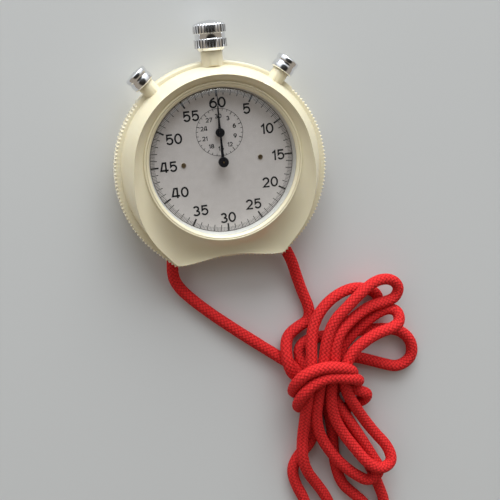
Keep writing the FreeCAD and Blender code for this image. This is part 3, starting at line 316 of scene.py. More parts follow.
PLASTIC = plastic_material()
BRAID = braid_material()
CHROME = metal_material("chrome", (0.82, 0.82, 0.84), 0.06)
HAND = ink_material("hand_black", 0.3)
INK = ink_material("dial_ink", 0.5)
TENSION = gasket_material()
CRYSTAL = crystal_material()
SLOT_MATERIALS = {
    "case_plastic": PLASTIC,
    "chrome": CHROME,
    "steel": metal_material("steel", (0.56, 0.56, 0.58), 0.28, (1, 8, 1)),
    "brass": metal_material("brass", (0.72, 0.55, 0.27), 0.3),
    "screw_brass": metal_material("screw_brass", (0.45, 0.34, 0.2), 0.35),
    "dial_white": dial_material(),
    "hand_black": HAND,
    "gasket_rubber": TENSION,
    "jewel_red": jewel_material(),
    "crystal_clear": CRYSTAL,
    "cord_red": BRAID,
}


def dress_frame():
    """Give the CAD nodes that stay visible the material of their slot."""
    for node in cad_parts.values():
        for slot in node.material_slots:
            name = slot.material.name.split(".")[0] if slot.material else ""
            if name in SLOT_MATERIALS:
                slot.material = SLOT_MATERIALS[name]


dress_frame()


# ---------------------------------------------------------------- camera, floor and light

def add_camera():
    """Camera in front of the dial, a little to the left and towards the crown."""
    camera = bpy.data.objects.new("camera", bpy.data.cameras.new("camera"))
    camera.location = Vector((-34.0, 35.0, 236.3)) * MM
    camera.rotation_euler = [math.radians(angle) for angle in (-14.05, -11.18, -4.97)]
    camera.data.lens = 59.73
    camera.data.sensor_width = 36
    camera.data.clip_start = 0.01
    bpy.context.collection.objects.link(camera)
    bpy.context.scene.camera = camera


def add_floor():
    """Matt grey surface under the stopwatch, 6 m across."""
    reach = 3
    mesh = bpy.data.meshes.new("floor")
    mesh.from_pydata([(-reach, -reach, 0), (reach, -reach, 0), (reach, reach, 0), (-reach, reach, 0)],
                     [], [(0, 1, 2, 3)])
    floor = bpy.data.objects.new("floor", mesh)
    paper = base_material("floor_paper", (0.63, 0.63, 0.63), 0.6)
    mottle(paper, 3, ((0.62, 0.62, 0.62), (0.64, 0.64, 0.64)))
    mesh.materials.append(paper)
    bpy.context.collection.objects.link(floor)


def add_window():
    """Large soft light beyond the crown, low over the floor; places are in metres."""
    light = bpy.data.lights.new("window", "AREA")
    light.size = 1.2
    light.energy = 30
    light.color = (0.92, 0.98, 1)
    lamp = bpy.data.objects.new("window", light)
    lamp.location = (0.15, 1.3, 0.3)
    lamp.rotation_euler = (-lamp.location).to_track_quat("-Z", "Y").to_euler()
    bpy.context.collection.objects.link(lamp)


def smooth_range(tree, source, low, high, at_low, at_high):
    """Value that goes smoothly from at_low to at_high while the source goes from low to high."""
    node = tree.nodes.new("ShaderNodeMapRange")
    node.interpolation_type = "SMOOTHSTEP"
    for socket, value in zip(("From Min", "From Max", "To Min", "To Max"), (low, high, at_low, at_high)):
        node.inputs[socket].default_value = value
    tree.links.new(source, node.inputs["Value"])
    return node.outputs["Result"]


def add_world():
    """Soft studio dome: bright and cool beyond the crown, dim and warm elsewhere, dark straight above."""
    world = bpy.data.worlds.new("studio")
    world.use_nodes = True
    tree = world.node_tree
    sky = tree.nodes["Background"]
    place = tree.nodes.new("ShaderNodeTexCoord")
    toward_window = tree.nodes.new("ShaderNodeVectorMath")
    toward_window.operation = "DOT_PRODUCT"
    toward_window.inputs[1].default_value = (0.0, 0.95, 0.3)
    tree.links.new(place.outputs["Generated"], toward_window.inputs[0])
    direction = tree.nodes.new("ShaderNodeSeparateXYZ")
    tree.links.new(place.outputs["Generated"], direction.inputs["Vector"])
    strength = tree.nodes.new("ShaderNodeMath")
    strength.operation = "MULTIPLY"
    front = smooth_range(tree, toward_window.outputs["Value"], 0.1, 1.0, 0.34, 1.6)
    above = smooth_range(tree, direction.outputs["Z"], 0.7, 0.9, 1.0, 0.08)
    tree.links.new(front, strength.inputs[0])
    tree.links.new(above, strength.inputs[1])
    tree.links.new(strength.outputs["Value"], sky.inputs["Strength"])
    tint = tree.nodes.new("ShaderNodeValToRGB")
    warm, cool = tint.color_ramp.elements
    warm.color = (1, 0.88, 0.72, 1)
    cool.color = (0.93, 0.97, 1, 1)
    cool.position = 0.6
    tree.links.new(toward_window.outputs["Value"], tint.inputs["Fac"])
    tree.links.new(tint.outputs["Color"], sky.inputs["Color"])
    bpy.context.scene.world = world


add_camera()
bpy.context.scene.view_settings.view_transform = "Standard"
add_floor()
add_window()
add_world()


# ---------------------------------------------------------------- lanyard cord

CORD_DIAMETER = 3.4
LEFT_LEAD = [(-16.4, -27.4, 5.5), (-17.0, -31.8, 3.9), (-15.6, -36.6, 2.3), (-11.5, -41.7, 1.8),
             (-5.3, -47.8, 1.8), (1.2, -53.6, 1.8), (7.8, -59.3, 1.8), (13.4, -64.0, 1.8)]
INTO_THE_HANK = [(17.6, -67.2, 3.4), (20.2, -71.2, 5.1), (21.8, -76.4, 5.1), (22.7, -82.6, 3.6),
                 (23.2, -89.0, 1.8), (21.0, -94.8, 1.8), (16.4, -98.6, 1.8), (14.2, -103.0, 1.8),
                 (15.2, -108.6, 1.8), (17.6, -114.2, 1.8)]
WIDE_LOWER_LOOP = [(19.0, -121.0, 1.8), (20.6, -128.4, 1.8), (25.4, -134.6, 1.8), (33.0, -137.2, 1.8),
                   (40.4, -134.8, 1.8), (44.8, -128.6, 1.8), (44.9, -120.8, 1.8), (42.9, -113.8, 1.8),
                   (40.7, -107.6, 1.8), (38.2, -100.8, 1.8), (35.4, -93.6, 1.8), (33.0, -87.6, 1.8)]
BEND_BESIDE_THE_WAIST = [(33.6, -84.4, 1.8), (36.2, -83.2, 2.0), (39.2, -82.4, 3.0), (40.2, -79.6, 4.6),
                         (37.6, -78.0, 5.4), (34.0, -75.8, 5.6), (33.0, -71.4, 5.2), (31.8, -67.0, 5.2)]
UPPER_LOOP_LOW_RIGHT = [(32.2, -62.6, 5.0), (35.6, -59.2, 4.6), (40.2, -55.9, 4.2), (44.6, -53.4, 4.0),
                        (48.2, -52.2, 4.4), (50.9, -53.2, 5.6), (50.7, -56.4, 7.4), (47.6, -57.4, 8.4),
                        (43.8, -58.0, 8.5), (39.8, -59.7, 8.5), (35.4, -62.4, 8.5), (32.6, -66.4, 8.5),
                        (31.4, -71.2, 8.4)]
LOWER_LOOP_RIGHT = [(32.4, -76.8, 7.8), (35.2, -82.4, 6.2), (38.4, -88.2, 4.8), (41.8, -93.6, 4.6),
                    (45.6, -98.6, 5.2), (46.6, -103.4, 7.0), (42.0, -104.8, 8.4), (37.6, -101.6, 8.5),
                    (34.4, -96.8, 7.4), (30.8, -91.0, 6.6), (28.2, -85.2, 6.8), (27.0, -78.8, 7.8),
                    (27.7, -71.6, 8.4)]
UPPER_LOOP_TOP = [(28.8, -65.4, 8.5), (29.4, -60.0, 8.5), (31.8, -55.4, 8.3), (36.6, -52.2, 7.2),
                  (42.0, -50.2, 5.6), (46.8, -49.8, 5.2), (50.4, -48.9, 5.2), (51.8, -45.4, 5.4),
                  (48.8, -42.2, 6.0), (43.8, -41.8, 7.0), (38.6, -44.6, 8.2), (33.8, -48.6, 8.4),
                  (29.4, -52.4, 8.4), (26.8, -58.2, 8.4), (25.6, -64.4, 8.5), (24.2, -71.2, 8.4)]
LOWER_LOOP_MIDDLE = [(22.9, -77.4, 8.0), (22.3, -83.6, 6.6), (23.2, -90.0, 5.6), (25.9, -96.2, 5.2),
                     (29.8, -102.0, 5.2), (34.0, -106.6, 5.2), (39.0, -110.4, 5.2), (43.2, -106.8, 5.2),
                     (40.3, -101.2, 5.2), (37.6, -95.6, 5.2), (34.4, -89.4, 5.2), (31.0, -83.2, 5.2),
                     (28.2, -77.4, 5.2), (26.6, -71.2, 5.1)]
UPPER_LOOP_LEFT = [(27.4, -65.4, 5.1), (29.8, -60.4, 5.1), (33.0, -56.2, 4.6), (37.4, -54.2, 3.0),
                   (41.6, -53.6, 1.8), (45.5, -52.5, 1.8), (46.2, -48.4, 1.8), (42.6, -45.6, 2.2),
                   (37.4, -44.2, 3.6), (31.8, -45.4, 4.6), (27.0, -48.6, 5.4), (23.8, -53.0, 6.0),
                   (22.3, -58.2, 7.2), (21.8, -64.6, 8.3), (20.8, -71.2, 8.4)]
LOWER_LOOP_LEFT = [(19.4, -77.8, 8.0), (18.8, -84.2, 6.2), (17.9, -90.6, 4.8), (17.2, -96.8, 5.2),
                   (18.6, -103.2, 4.0), (21.8, -109.0, 2.2), (24.8, -114.4, 1.8), (26.6, -120.4, 1.8),
                   (28.6, -126.4, 1.8), (33.6, -129.4, 1.8), (38.4, -126.6, 1.8), (38.9, -121.2, 1.8),
                   (34.6, -116.0, 1.8), (30.6, -111.4, 1.8), (28.9, -105.2, 1.8), (28.4, -98.6, 1.8),
                   (28.6, -91.8, 1.8), (27.6, -85.0, 2.2), (25.6, -78.4, 4.6), (23.4, -72.0, 5.1)]
LOWEST_LOOP = [(20.8, -67.4, 4.6), (19.0, -63.6, 2.4), (20.6, -60.2, 1.8), (25.6, -59.0, 1.8),
               (32.0, -59.6, 1.8), (39.0, -59.0, 1.8), (46.0, -59.6, 1.8), (52.0, -60.6, 1.8),
               (56.2, -64.8, 1.8), (56.6, -70.6, 1.8), (51.6, -73.6, 1.8), (45.8, -71.2, 1.8),
               (40.0, -68.6, 1.8), (34.2, -66.6, 2.2), (30.6, -69.0, 4.6), (29.9, -73.2, 5.1),
               (29.8, -77.6, 3.6)]
FIRST_WRAP = [(27.2, -81.0, 1.9), (22.4, -82.2, 1.8), (18.4, -81.4, 2.6), (16.9, -79.4, 5.6),
              (16.6, -76.2, 9.2), (18.2, -72.2, 11.6), (22.2, -69.2, 12.1), (26.9, -68.5, 12.1),
              (31.8, -69.8, 11.8), (35.8, -72.0, 9.8), (36.9, -74.2, 5.8), (35.0, -76.2, 2.4),
              (30.4, -77.2, 1.8)]
SECOND_WRAP = [(24.0, -76.8, 1.8), (18.8, -76.6, 2.0), (16.0, -75.0, 4.6), (15.5, -71.8, 8.4),
               (16.9, -68.0, 11.2), (20.4, -65.7, 12.2), (25.2, -65.0, 12.3), (30.2, -66.2, 12.0),
               (33.8, -68.4, 10.2), (35.2, -71.6, 6.4), (34.0, -73.6, 2.8), (30.0, -73.6, 1.8),
               (24.0, -72.8, 1.8), (18.9, -71.6, 2.2), (16.1, -68.6, 4.6), (15.1, -64.8, 5.4),
               (14.9, -60.8, 4.2)]
RIGHT_LEAD = [(16.0, -57.3, 2.2), (19.4, -55.0, 1.8), (23.3, -53.3, 1.8), (23.9, -49.6, 1.8),
              (21.9, -43.8, 1.8), (20.3, -38.0, 2.2), (18.8, -32.4, 3.7), (16.4, -27.4, 5.5)]
CORD_ROUTE = (LEFT_LEAD + INTO_THE_HANK + WIDE_LOWER_LOOP + BEND_BESIDE_THE_WAIST + UPPER_LOOP_LOW_RIGHT
              + LOWER_LOOP_RIGHT + UPPER_LOOP_TOP + LOWER_LOOP_MIDDLE + UPPER_LOOP_LEFT + LOWER_LOOP_LEFT
              + LOWEST_LOOP + FIRST_WRAP + SECOND_WRAP + RIGHT_LEAD)
YARNS_AROUND = 16
YARN_PITCH = 1.35
CORD_STEP = 0.6
WEAVE_OFFSET = 64   # keeps the weave's own coordinates above zero
HANK_SWELL = 0.06   # slack braid is a little thicker in the hank


def smooth_line(points):
    """Points of a quadratic NURBS spline with these control points, in metres."""
    curve = bpy.data.curves.new("cord_route", "CURVE")
    curve.dimensions = "3D"
    spline = curve.splines.new("NURBS")
    spline.points.add(len(points) - 1)
    for point, place in zip(spline.points, points):
        point.co = (*(Vector(place) * MM), 1)
    spline.order_u = 3
    spline.use_endpoint_u = True
    spline.resolution_u = 8
    holder = bpy.data.objects.new("cord_route", curve)
    bpy.context.collection.objects.link(holder)
    bpy.context.view_layer.update()
    line = bpy.data.meshes.new_from_object(holder)
    places = [vertex.co.copy() for vertex in line.vertices]
    bpy.data.objects.remove(holder)
    return places


def evenly(places, step):
    """The same line with points at an even spacing."""
    spaced, left = [places[0]], step
    for start, stop in zip(places, places[1:]):
        run = (stop - start).length
        while left <= run:
            spaced.append(start.lerp(stop, left / run))
            left += step
        left -= run
    if (spaced[-1] - places[-1]).length < step / 2:
        spaced.pop()
    spaced.append(places[-1])
    return spaced


def add_cord():
    """Braided tube along the route, with unrolled coordinates for the weave."""
    around = 20
    line = evenly(smooth_line(CORD_ROUTE), CORD_STEP * MM)
    verts, travelled = [], [0.0]
    normal = Vector((0, 0, 1))
    for index, place in enumerate(line):
        before, after = line[max(index - 1, 0)], line[min(index + 1, len(line) - 1)]
        forward = (after - before).normalized()
        normal = (normal - forward * normal.dot(forward)).normalized()
        side = forward.cross(normal)
        radius = CORD_DIAMETER / 2 * (1 + HANK_SWELL * smoothstep(-45, -60, place.y / MM))
        for k in range(around):
            angle = 2 * math.pi * k / around
            verts.append(place / MM + (normal * math.cos(angle) + side * math.sin(angle)) * radius)
        if index:
            travelled.append(travelled[-1] + (place - line[index - 1]).length / MM)
    faces = ring_faces(len(line), around)
    faces.append(tuple(range(around)))
    faces.append(tuple(reversed(range(len(verts) - around, len(verts)))))
    cord = mesh_object("lanyard_cord", verts, faces, BRAID, slot="cord_red")
    unrolled = cord.data.uv_layers.new(name="braid")
    for polygon in cord.data.polygons:
        if len(polygon.vertices) != 4:
            continue
        for loop, vertex in zip(polygon.loop_indices, polygon.vertices):
            turn = vertex % around / around
            if turn == 0 and any(other % around == around - 1 for other in polygon.vertices):
                turn = 1
            unrolled.data[loop].uv = (turn * YARNS_AROUND / 2 + WEAVE_OFFSET,
                                      travelled[vertex // around] / YARN_PITCH)
    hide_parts("lanyard_lead_left", "lanyard_lead_right", "lanyard_hank")


add_cord()


# ---------------------------------------------------------------- case shells

SEAM_Z = 9.2
RIM_RADIUS = 21.95
STEM_Z = 8.7
PUSHER_ANGLE = 39.5
OUTLINE = {"radius": 30.0, "centre_y": -2.8, "tip": (15.0, -27.1), "tip_round": 2.1, "scoop_y": -27.7}
HEART = Vector((0, OUTLINE["centre_y"]))
KNURL_TEETH = 172
KNURL_STEPS = 6
KNURL_DEPTH = 0.5
KNURL_START = 50    # degrees from the crown, past the flanges of the pushers
KNURL_FADE = 4      # the knurl dies out over this width at the middle of the lower edge
CASE_SCREWS = [(24.6, 7.0), (-24.6, 7.0), (22.6, -15.5), (-22.6, -15.5)]
SCREW_HOLE = 1.55
CORD_HOLE = 2.0
CROWN_BORE = 2.0
PUSHER_BORE = 1.5
BORE_REACH = 32
NECK_WALL = 0.9
TRAY_RADIUS = 21.4
TRAY_FLOOR = 1.2
TRAY_TOP = 9.18
# side of the back shell from its flat face up: distance in from the outline, height, share of the knurl
BACK_SIDE = [(2.4, 0, 0), (1.6, 0.12, 0), (1.05, 0.5, 0), (0.75, 1.2, 0), (0.7, 1.9, 0), (0.35, 2.0, 0),
             (0.12, 2.12, 1), (0, 2.4, 1), (0, 8.75, 1), (0.06, 8.95, 1), (0.3, 9.12, 0.8), (0.62, 9.17, 0),
             (2.0, TRAY_TOP, 0)]


def case_outline(radius, centre_y, tip, tip_round, scoop_y):
    """Dense outline, clockwise from the crown: round top, flank, shoulder, hollow lower edge."""
    top_steps, tip_steps, scoop_steps = 240, 24, 60
    span = Vector((tip[0], tip[1] - centre_y))
    flank = math.atan2(span.y, span.x) + math.acos((radius - tip_round) / span.length)
    right = []
    for step in range(top_steps + 1):
        angle = math.pi / 2 + (flank - math.pi / 2) * step / top_steps
        right.append(Vector((radius * math.cos(angle), centre_y + radius * math.sin(angle))))
    for step in range(tip_steps + 1):
        angle = flank + (-math.pi / 2 - flank) * step / tip_steps
        right.append(Vector((tip[0] + tip_round * math.cos(angle), tip[1] + tip_round * math.sin(angle))))
    low = tip[1] - tip_round
    for step in range(1, scoop_steps + 1):
        share = step / scoop_steps
        rise = 0.5 - 0.5 * math.cos(math.pi * share)
        right.append(Vector((tip[0] * (1 - share), low + (scoop_y - low) * rise)))
    return right + [Vector((-point.x, point.y)) for point in reversed(right[1:-1])]


def along_outline(points, count):
    """Points at equal distances round a closed outline, with their outward directions."""
    lengths = [(points[(k + 1) % len(points)] - points[k]).length for k in range(len(points))]
    step = sum(lengths) / count
    places, outward, done, corner = [], [], 0.0, 0
    for k in range(count):
        while done + lengths[corner] < k * step:
            done += lengths[corner]
            corner += 1
        run = points[(corner + 1) % len(points)] - points[corner]
        places.append(points[corner] + run * ((k * step - done) / lengths[corner]))
        outward.append(Vector((-run.y, run.x)).normalized())
    return places, outward


def compass(point):
    """Angle of a point from the crown's direction, 0 to 180 degrees on either side."""
    return abs(math.degrees(math.atan2(point.x, point.y)))


def add_boolean_cuts(piece, cutters):
    """Cut simple closed meshes out of a piece for good."""
    for cutter in cutters:
        change = piece.modifiers.new("cut", "BOOLEAN")
        change.operation = "DIFFERENCE"
        change.solver = "EXACT"
        change.object = cutter
    bpy.context.view_layer.update()
    cut = bpy.data.meshes.new_from_object(piece.evaluated_get(bpy.context.evaluated_depsgraph_get()))
    piece.modifiers.clear()
    piece.data = cut
    for cutter in cutters:
        bpy.data.objects.remove(cutter)


def rod(name, radius, start, stop, around=48):
    """Plain closed cylinder between two points."""
    way = Vector(stop) - Vector(start)
    return lathe(name, [(0, 0), (radius, 0), (radius, way.length), (0, way.length)], around, PLASTIC,
                 axis=way, centre=start)


def stem_bores():
    """Cutters for the three buttons' stems, from inside the case out to the necks."""
    middle = Vector((0, 0, STEM_Z))
    bores = []
    for radius, angle in ((CROWN_BORE, 0), (PUSHER_BORE, PUSHER_ANGLE), (PUSHER_BORE, -PUSHER_ANGLE)):
        bores.append(rod("cutter", radius, middle, middle + ray(angle).to_3d() * BORE_REACH))
    return bores


def add_back_shell():
    """Shallow back tray whose side band is knurled from about 50 degrees either side of the crown."""
    places, outward = along_outline(case_outline(**OUTLINE), KNURL_TEETH * KNURL_STEPS)

    def groove_depth(index, place):
        depth = (0.5 - 0.5 * math.cos(2 * math.pi * index / KNURL_STEPS)) ** 0.7 * KNURL_DEPTH
        if place.y < 0:
            depth *= min(1, abs(place.x) / KNURL_FADE)
        return depth * smoothstep(KNURL_START - 0.5, KNURL_START + 0.5, compass(place))

    grooves = [groove_depth(index, place) for index, place in enumerate(places)]
    rings = []
    for inset, height, knurl in BACK_SIDE:
        points = []
        for place, out, groove in zip(places, outward, grooves):
            point = place - out * (inset + groove * knurl)
            points.append((point.x, point.y, height))
        rings.append(points)
    turns = [math.atan2(place.x, place.y) for place in places]
    hollow = [(TRAY_RADIUS * math.sin(turn), TRAY_RADIUS * math.cos(turn)) for turn in turns]
    for height in (TRAY_TOP, TRAY_FLOOR):
        rings.append([(x, y, height) for x, y in hollow])
    verts = [point for points in rings for point in points]
    around = len(places)
    faces = ring_faces(len(rings), around)
    faces.append(tuple(reversed(range(around))))
    faces.append(tuple(range(len(verts) - around, len(verts))))
    shell = mesh_object("back_shell", verts, faces, PLASTIC, slot="case_plastic")
    face_outward(shell)
    cutters = [rod("cutter", SCREW_HOLE, (x, y, -1), (x, y, 1.0)) for x, y in CASE_SCREWS]
    for side in (-1, 1):
        cutters.append(rod("cutter", CORD_HOLE, (side * 14.2, -24.2, 5.5), (side * 18.0, -30.0, 5.5)))
    cutters += stem_bores()
    add_boolean_cuts(shell, cutters)
    sharpen(shell, 32)
    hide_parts("back_case")


def circle_reach(angle, radius, centre_y):
    """Distance from HEART to a circle that is centred elsewhere on the crown's line."""
    rise = centre_y - HEART.y
    return rise * math.cos(angle) + math.sqrt(radius ** 2 - (rise * math.sin(angle)) ** 2)


def front_section(place):
    """Section of the front shell through one point of the outline, from the wall's foot to the ring."""
    edge_radius, edge_centre_y, edge_height, edge_drop = 24.6, -0.83, 15.5, 5.9
    foot_radius, foot_centre_y = 28.03, -1.93
    rim_height, shoulder_lip, wall_bulge = 13.3, 0.75, 0.35
    offset = place - HEART
    angle = math.atan2(offset.x, offset.y)
    turn = abs(math.degrees(angle))
    out = Vector((math.sin(angle), math.cos(angle), 0))

    def spot(reach, height):
        return Vector((HEART.x + math.sin(angle) * reach, HEART.y + math.cos(angle) * reach, height))

    # 0 beside the crown, where the front edge is high, and 1 at the broad lower face
    spread = smoothstep(70, 158, turn) * 0.55 + 0.45 * min(1, max(0, (turn - 82) / 66))
    edge_reach = (circle_reach(angle, edge_radius, edge_centre_y) * (1 - spread)
                  + (offset.length - shoulder_lip) * spread)
    edge_z = edge_height - edge_drop * spread ** 2.0
    wall_reach = max(circle_reach(angle, foot_radius, foot_centre_y), edge_reach + 0.1)
    foot = spot(min(wall_reach, offset.length - 0.5), SEAM_Z)
    edge = spot(edge_reach, edge_z)
    rim = Vector((0, 0, rim_height)) + (edge - Vector((0, 0, edge_z))).normalized() * RIM_RADIUS
    section = [foot]
    for share in (0.04, 0.3, 0.6, 0.86, 0.96):
        bulge = wall_bulge * math.sin(math.pi * share)
        section.append(foot.lerp(edge, share) + out * bulge * (1 - spread))
    section.append(edge - Vector((0, 0, 0.02)))
    sag = 0.25 + 1.15 * spread
    for share in (0.04, 0.12, 0.25, 0.4, 0.55, 0.7, 0.82, 0.92, 0.97):
        point = edge.lerp(rim, share)
        point.z -= sag * math.sin(math.pi * share) ** 0.9
        section.append(point)
    section.append(rim)
    section.append(Vector((rim.x, rim.y, SEAM_Z)))
    return section


def add_front_shell():
    """Front shell: steep wall, crisp front edge, hollow dish down to the ring, broad lower face."""
    around = 360
    outer, _ = along_outline(case_outline(**OUTLINE), around)
    rings = list(zip(*(front_section(place) for place in outer)))
    verts = [point for points in rings for point in points]
    shell = mesh_object("front_shell", verts, ring_faces(len(rings), around, closed=True), PLASTIC,
                        slot="case_plastic")
    face_outward(shell)
    add_boolean_cuts(shell, stem_bores())
    sharpen(shell, 32)
    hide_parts("front_case")


def add_neck(name, radius, degrees, stop):
    """Short tube of the case under a button, cut to a ramp where it rises from the flange."""
    way = ray(degrees).to_3d()
    middle = Vector((0, 0, STEM_Z))
    start, foot, top = 25.5, 24.5, 26.1
    bore = radius - NECK_WALL
    profile = [(bore, start), (radius, start), (radius, 25.7), (radius, 25.9), (radius, top),
               (radius, stop - 0.25), (radius - 0.07, stop - 0.07), (radius - 0.25, stop), (bore, stop),
               (bore, top)]
    neck = lathe(name, profile, 96, PLASTIC, axis=way, centre=middle, slot="case_plastic")
    for vertex in neck.data.vertices:
        distance = vertex.co.dot(way) / MM
        from_axis = (vertex.co / MM - way * distance - middle).length
        if from_axis > bore + 0.1:
            ramp = SEAM_Z + max(0.01, (distance - foot) / (top - foot)) * (STEM_Z + radius - SEAM_Z)
            vertex.co.z = min(vertex.co.z, ramp * MM)
    sharpen(neck, 40)


add_back_shell()
add_front_shell()
add_neck("neck_crown", 3.0, 0, 31.0)
add_neck("neck_left", 2.3, -PUSHER_ANGLE, 29.9)
add_neck("neck_right", 2.3, PUSHER_ANGLE, 29.9)


# ---------------------------------------------------------------- ring and crystal

def add_rings():
    """Glossy ring round the crystal, and the pale tension ring that holds the crystal from inside."""
    rim_profile = [(20.9, 10.4), (20.9, 12.1), (20.44, 12.8), (20.42, 13.0), (20.5, 13.2), (20.75, 13.44),
                   (21.0, 13.66), (21.15, 13.73), (21.24, 13.7), (21.27, 13.42), (21.35, 13.42),
                   (21.38, 13.72), (21.46, 13.8), (21.65, 13.82), (21.82, 13.75), (21.92, 13.58),
                   (21.94, 13.2), (21.94, 10.4)]
    rim = lathe("crystal_rim", rim_profile, 256, PLASTIC, slot="case_plastic")
    sharpen(rim, 40)
    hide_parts("crystal_ring")
    tension_profile = [(20.12, 10.04), (20.3, 11.4), (20.36, 12.2), (20.5, 12.3), (20.7, 11.9),
                       (20.7, 10.04)]
    tension = lathe("tension_ring", tension_profile, 192, TENSION, slot="gasket_rubber")
    sharpen(tension, 40)
    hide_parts("crystal_gasket")


def dome(reach, foot, rise, steps):
    """Profile of a shallow elliptical dome, from its middle to its foot."""
    points = []
    for step in range(steps + 1):
        angle = math.pi / 2 * (1 - step / steps)
        points.append((reach * math.cos(angle), foot + rise * math.sin(angle)))
    return points


def add_crystal():
    """Domed clear crystal, hollow inside."""
    outside, inside = dome(20.85, 11.9, 3.8, 28), dome(20.4, 11.7, 2.9, 28)
    crystal = lathe("domed_crystal", outside + list(reversed(inside)), 192, CRYSTAL, slot="crystal_clear")
    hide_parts("crystal")


add_rings()
add_crystal()


# ---------------------------------------------------------------- crown and pushers

FLUTES = 30
FLUTE_DEPTH = 0.26


def add_crown_cap():
    """Fluted cap: two fluted bands with a plain groove between them, and a domed top."""
    profile = [(3.15, 29.9), (3.45, 29.9), (3.62, 30.02), (4.08, 30.6), (4.2, 30.68), (4.38, 30.72, 0.4),
               (4.45, 30.85, 1), (4.45, 32.8, 1), (4.4, 32.95, 0.7), (4.2, 33.03), (4.12, 33.12),
               (4.12, 34.4), (4.2, 34.5), (4.4, 34.58, 0.7), (4.45, 34.72, 1), (4.45, 36.45, 1),
               (4.34, 36.72, 0.7), (4.08, 36.95, 0.2), (3.6, 37.16), (2.9, 37.42), (2.0, 37.68),
               (1.0, 37.84), (0, 37.9), (0, 32.4), (3.15, 32.4)]
    cap = lathe("crown_button", profile, FLUTES * 8, CHROME, axis=(0, 1, 0), centre=(0, 0, STEM_Z),
                flute=(FLUTES, FLUTE_DEPTH), body="crown", slot="chrome")
    sharpen(cap, 40)
    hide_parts("crown_cap")


def add_pusher_cap(side, degrees):
    """Smooth domed cap with a shallow waist."""
    profile = [(2.45, 29.5), (2.9, 29.5), (3.1, 29.62), (3.18, 29.8), (3.2, 30.9), (3.13, 31.25),
               (3.03, 31.5), (3.0, 31.7), (3.03, 31.9), (3.13, 32.1), (3.22, 32.35), (3.25, 33.0),
               (3.18, 33.25), (3.0, 33.42), (2.4, 33.56), (1.4, 33.68), (0, 33.72), (0, 31.7), (2.45, 31.7)]
    cap = lathe(f"{side}_button", profile, 96, CHROME, axis=ray(degrees).to_3d(),
                centre=(0, 0, STEM_Z), body=f"{side}_pusher", slot="chrome")
    sharpen(cap, 50)
    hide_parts(f"{side}_pusher_cap")


add_crown_cap()
add_pusher_cap("left", -PUSHER_ANGLE)
add_pusher_cap("right", PUSHER_ANGLE)


# ---------------------------------------------------------------- dial print

DIAL_Z = 10.0
INK_THICK = 0.03
MIDDLE = Vector((0, 0))
TRACK_RADIUS = 20.0
RECORDER = Vector((0, 8))
RECORDER_RADIUS = 6.5
DIGIT_GAP = 0.09


def bow(x, y, across, tall, start, stop):
    """Points on an ellipse's arc; degrees run anticlockwise from the right."""
    steps = max(4, round(abs(stop - start) / 12))
    angles = [math.radians(start + (stop - start) * step / steps) for step in range(steps + 1)]
    return [(x + across * math.cos(angle), y + tall * math.sin(angle)) for angle in angles]


# each digit: its width and the middle lines of its strokes, for a digit 1 tall
DIGITS = {
    "0": (0.74, [bow(0.37, 0.5, 0.295, 0.425, 0, 360)]),
    "1": (0.40, [[(0.04, 0.70), (0.29, 0.91), (0.29, 0)]]),
    "2": (0.72, [bow(0.35, 0.66, 0.27, 0.265, 165, -38) + [(0.10, 0.075), (0.68, 0.075)]]),
    "3": (0.70, [bow(0.33, 0.71, 0.235, 0.215, 155, -90), bow(0.34, 0.285, 0.28, 0.21, 90, -155)]),
    "4": (0.82, [[(0.57, 0), (0.57, 0.925), (0.29, 0.925), (0.09, 0.21), (0.80, 0.21)]]),
    "5": (0.72, [[(0.65, 0.925), (0.15, 0.925), (0.115, 0.5)] + bow(0.36, 0.355, 0.28, 0.28, 145, -155)]),
    "6": (0.74, [bow(0.37, 0.345, 0.29, 0.27, 0, 360), bow(0.62, 0.40, 0.54, 0.525, 98, 180)]),
    "7": (0.70, [[(0.05, 0.925), (0.62, 0.925), (0.25, 0)]]),
    "8": (0.74, [bow(0.37, 0.715, 0.23, 0.21, 0, 360), bow(0.37, 0.29, 0.29, 0.215, 0, 360)]),
    "9": (0.74, [bow(0.37, 0.655, 0.29, 0.27, 0, 360), bow(0.12, 0.60, 0.54, 0.525, -82, 0)]),
}


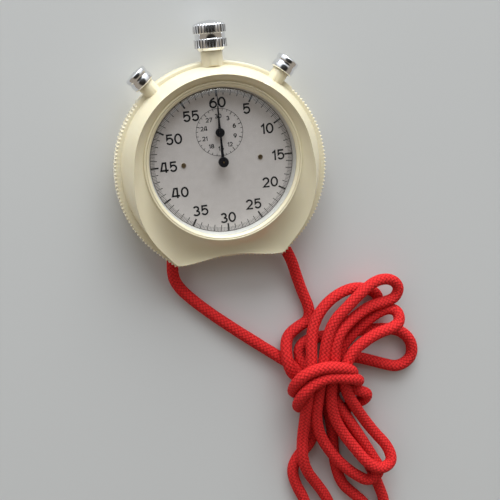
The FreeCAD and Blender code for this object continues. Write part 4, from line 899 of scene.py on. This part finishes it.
class Print:
    """Collects thin ribbons of ink on the dial and makes one mesh of them."""

    def __init__(self, name):
        self.name, self.verts, self.faces = name, [], []

    def ribbon(self, points, width):
        """Flat closed ribbon along a line; a line that ends where it starts becomes a ring."""
        points = [Vector(point) for point in points]
        ring = len(points) > 3 and (points[0] - points[-1]).length < 1e-6
        if ring:
            points.pop()
        count, start = len(points), len(self.verts)
        for k, point in enumerate(points):
            before = points[k - 1] if ring or k else None
            after = points[(k + 1) % count] if ring or k < count - 1 else None
            arrive = ((point - before) if before else (after - point)).normalized()
            leave = ((after - point) if after else (point - before)).normalized()
            mean = (arrive + leave).normalized()
            side = Vector((mean.y, -mean.x)) * width / 2 / max(0.5, mean.dot(arrive))
            for spot in (point - side, point + side):
                self.verts.append((spot.x, spot.y, DIAL_Z))
                self.verts.append((spot.x, spot.y, DIAL_Z + INK_THICK))
        for k in range(count if ring else count - 1):
            here, there = start + 4 * k, start + 4 * ((k + 1) % count)
            for first, last in ((0, 1), (1, 3), (3, 2), (2, 0)):
                self.faces.append((here + first, here + last, there + last, there + first))
        if not ring:
            end = start + 4 * (count - 1)
            self.faces += [(start, start + 2, start + 3, start + 1), (end, end + 1, end + 3, end + 2)]

    def tick(self, centre, degrees, inner, outer, width):
        """Straight mark between two distances from a centre."""
        self.ribbon([centre + ray(degrees) * inner, centre + ray(degrees) * outer], width)

    def circle(self, centre, radius, width):
        """Thin full circle."""
        self.ribbon([centre + ray(360 * k / 180) * radius for k in range(181)], width)

    def number(self, text, centre, height, weight):
        """Upright number round a centre; weight is the stroke's share of the height."""
        left = centre.x - number_width(text) * height / 2
        for digit in text:
            width, strokes = DIGITS[digit]
            for stroke in strokes:
                self.ribbon([(left + x * height, centre.y + (y - 0.5) * height) for x, y in stroke],
                            weight * height)
            left += (width + DIGIT_GAP) * height

    def done(self):
        """Make the mesh piece."""
        piece = mesh_object(self.name, self.verts, self.faces, INK, slot="hand_black", smooth=False)
        sharpen(piece, 30)


def number_width(text):
    """Width of a number 1 tall."""
    return sum(DIGITS[digit][0] for digit in text) + DIGIT_GAP * (len(text) - 1)


def print_seconds(track):
    """Sixty-second track with fifths, and a number every five seconds."""
    height, weight, numbers_reach = 2.9, 0.168, 17.55
    off_centre = Vector((0.15, 0))
    track.circle(MIDDLE, TRACK_RADIUS - 0.05, 0.13)
    for fifth in range(300):
        inner, width = 18.75, 0.1
        if fifth % 5 == 0:
            inner, width = 18.15, 0.2
        if fifth % 25 == 0:
            inner, width = 17.75, 0.46
        track.tick(MIDDLE, fifth * 1.2, inner, TRACK_RADIUS, width)
    for number in range(5, 61, 5):
        way = ray(number * 6)
        half_box = (number_width(str(number)) * abs(way.x) + abs(way.y)) * height / 2
        track.number(str(number), way * (numbers_reach - half_box) + off_centre, height, weight)


def print_recorder(track):
    """Thirty-minute recorder with a long mark and a number every three minutes."""
    height, weight, numbers_reach = 1.2, 0.19, 4.45
    track.circle(RECORDER, RECORDER_RADIUS, 0.11)
    for minute in range(30):
        inner, width = (5.6, 0.2) if minute % 3 == 0 else (5.95, 0.14)
        track.tick(RECORDER, minute * 12, inner, RECORDER_RADIUS, width)
    for number in range(3, 31, 3):
        track.number(str(number), RECORDER + ray(number * 12) * numbers_reach, height, weight)


def add_dial_print():
    """All the ink on the dial as one piece."""
    track = Print("dial_print")
    print_seconds(track)
    print_recorder(track)
    track.done()


add_dial_print()
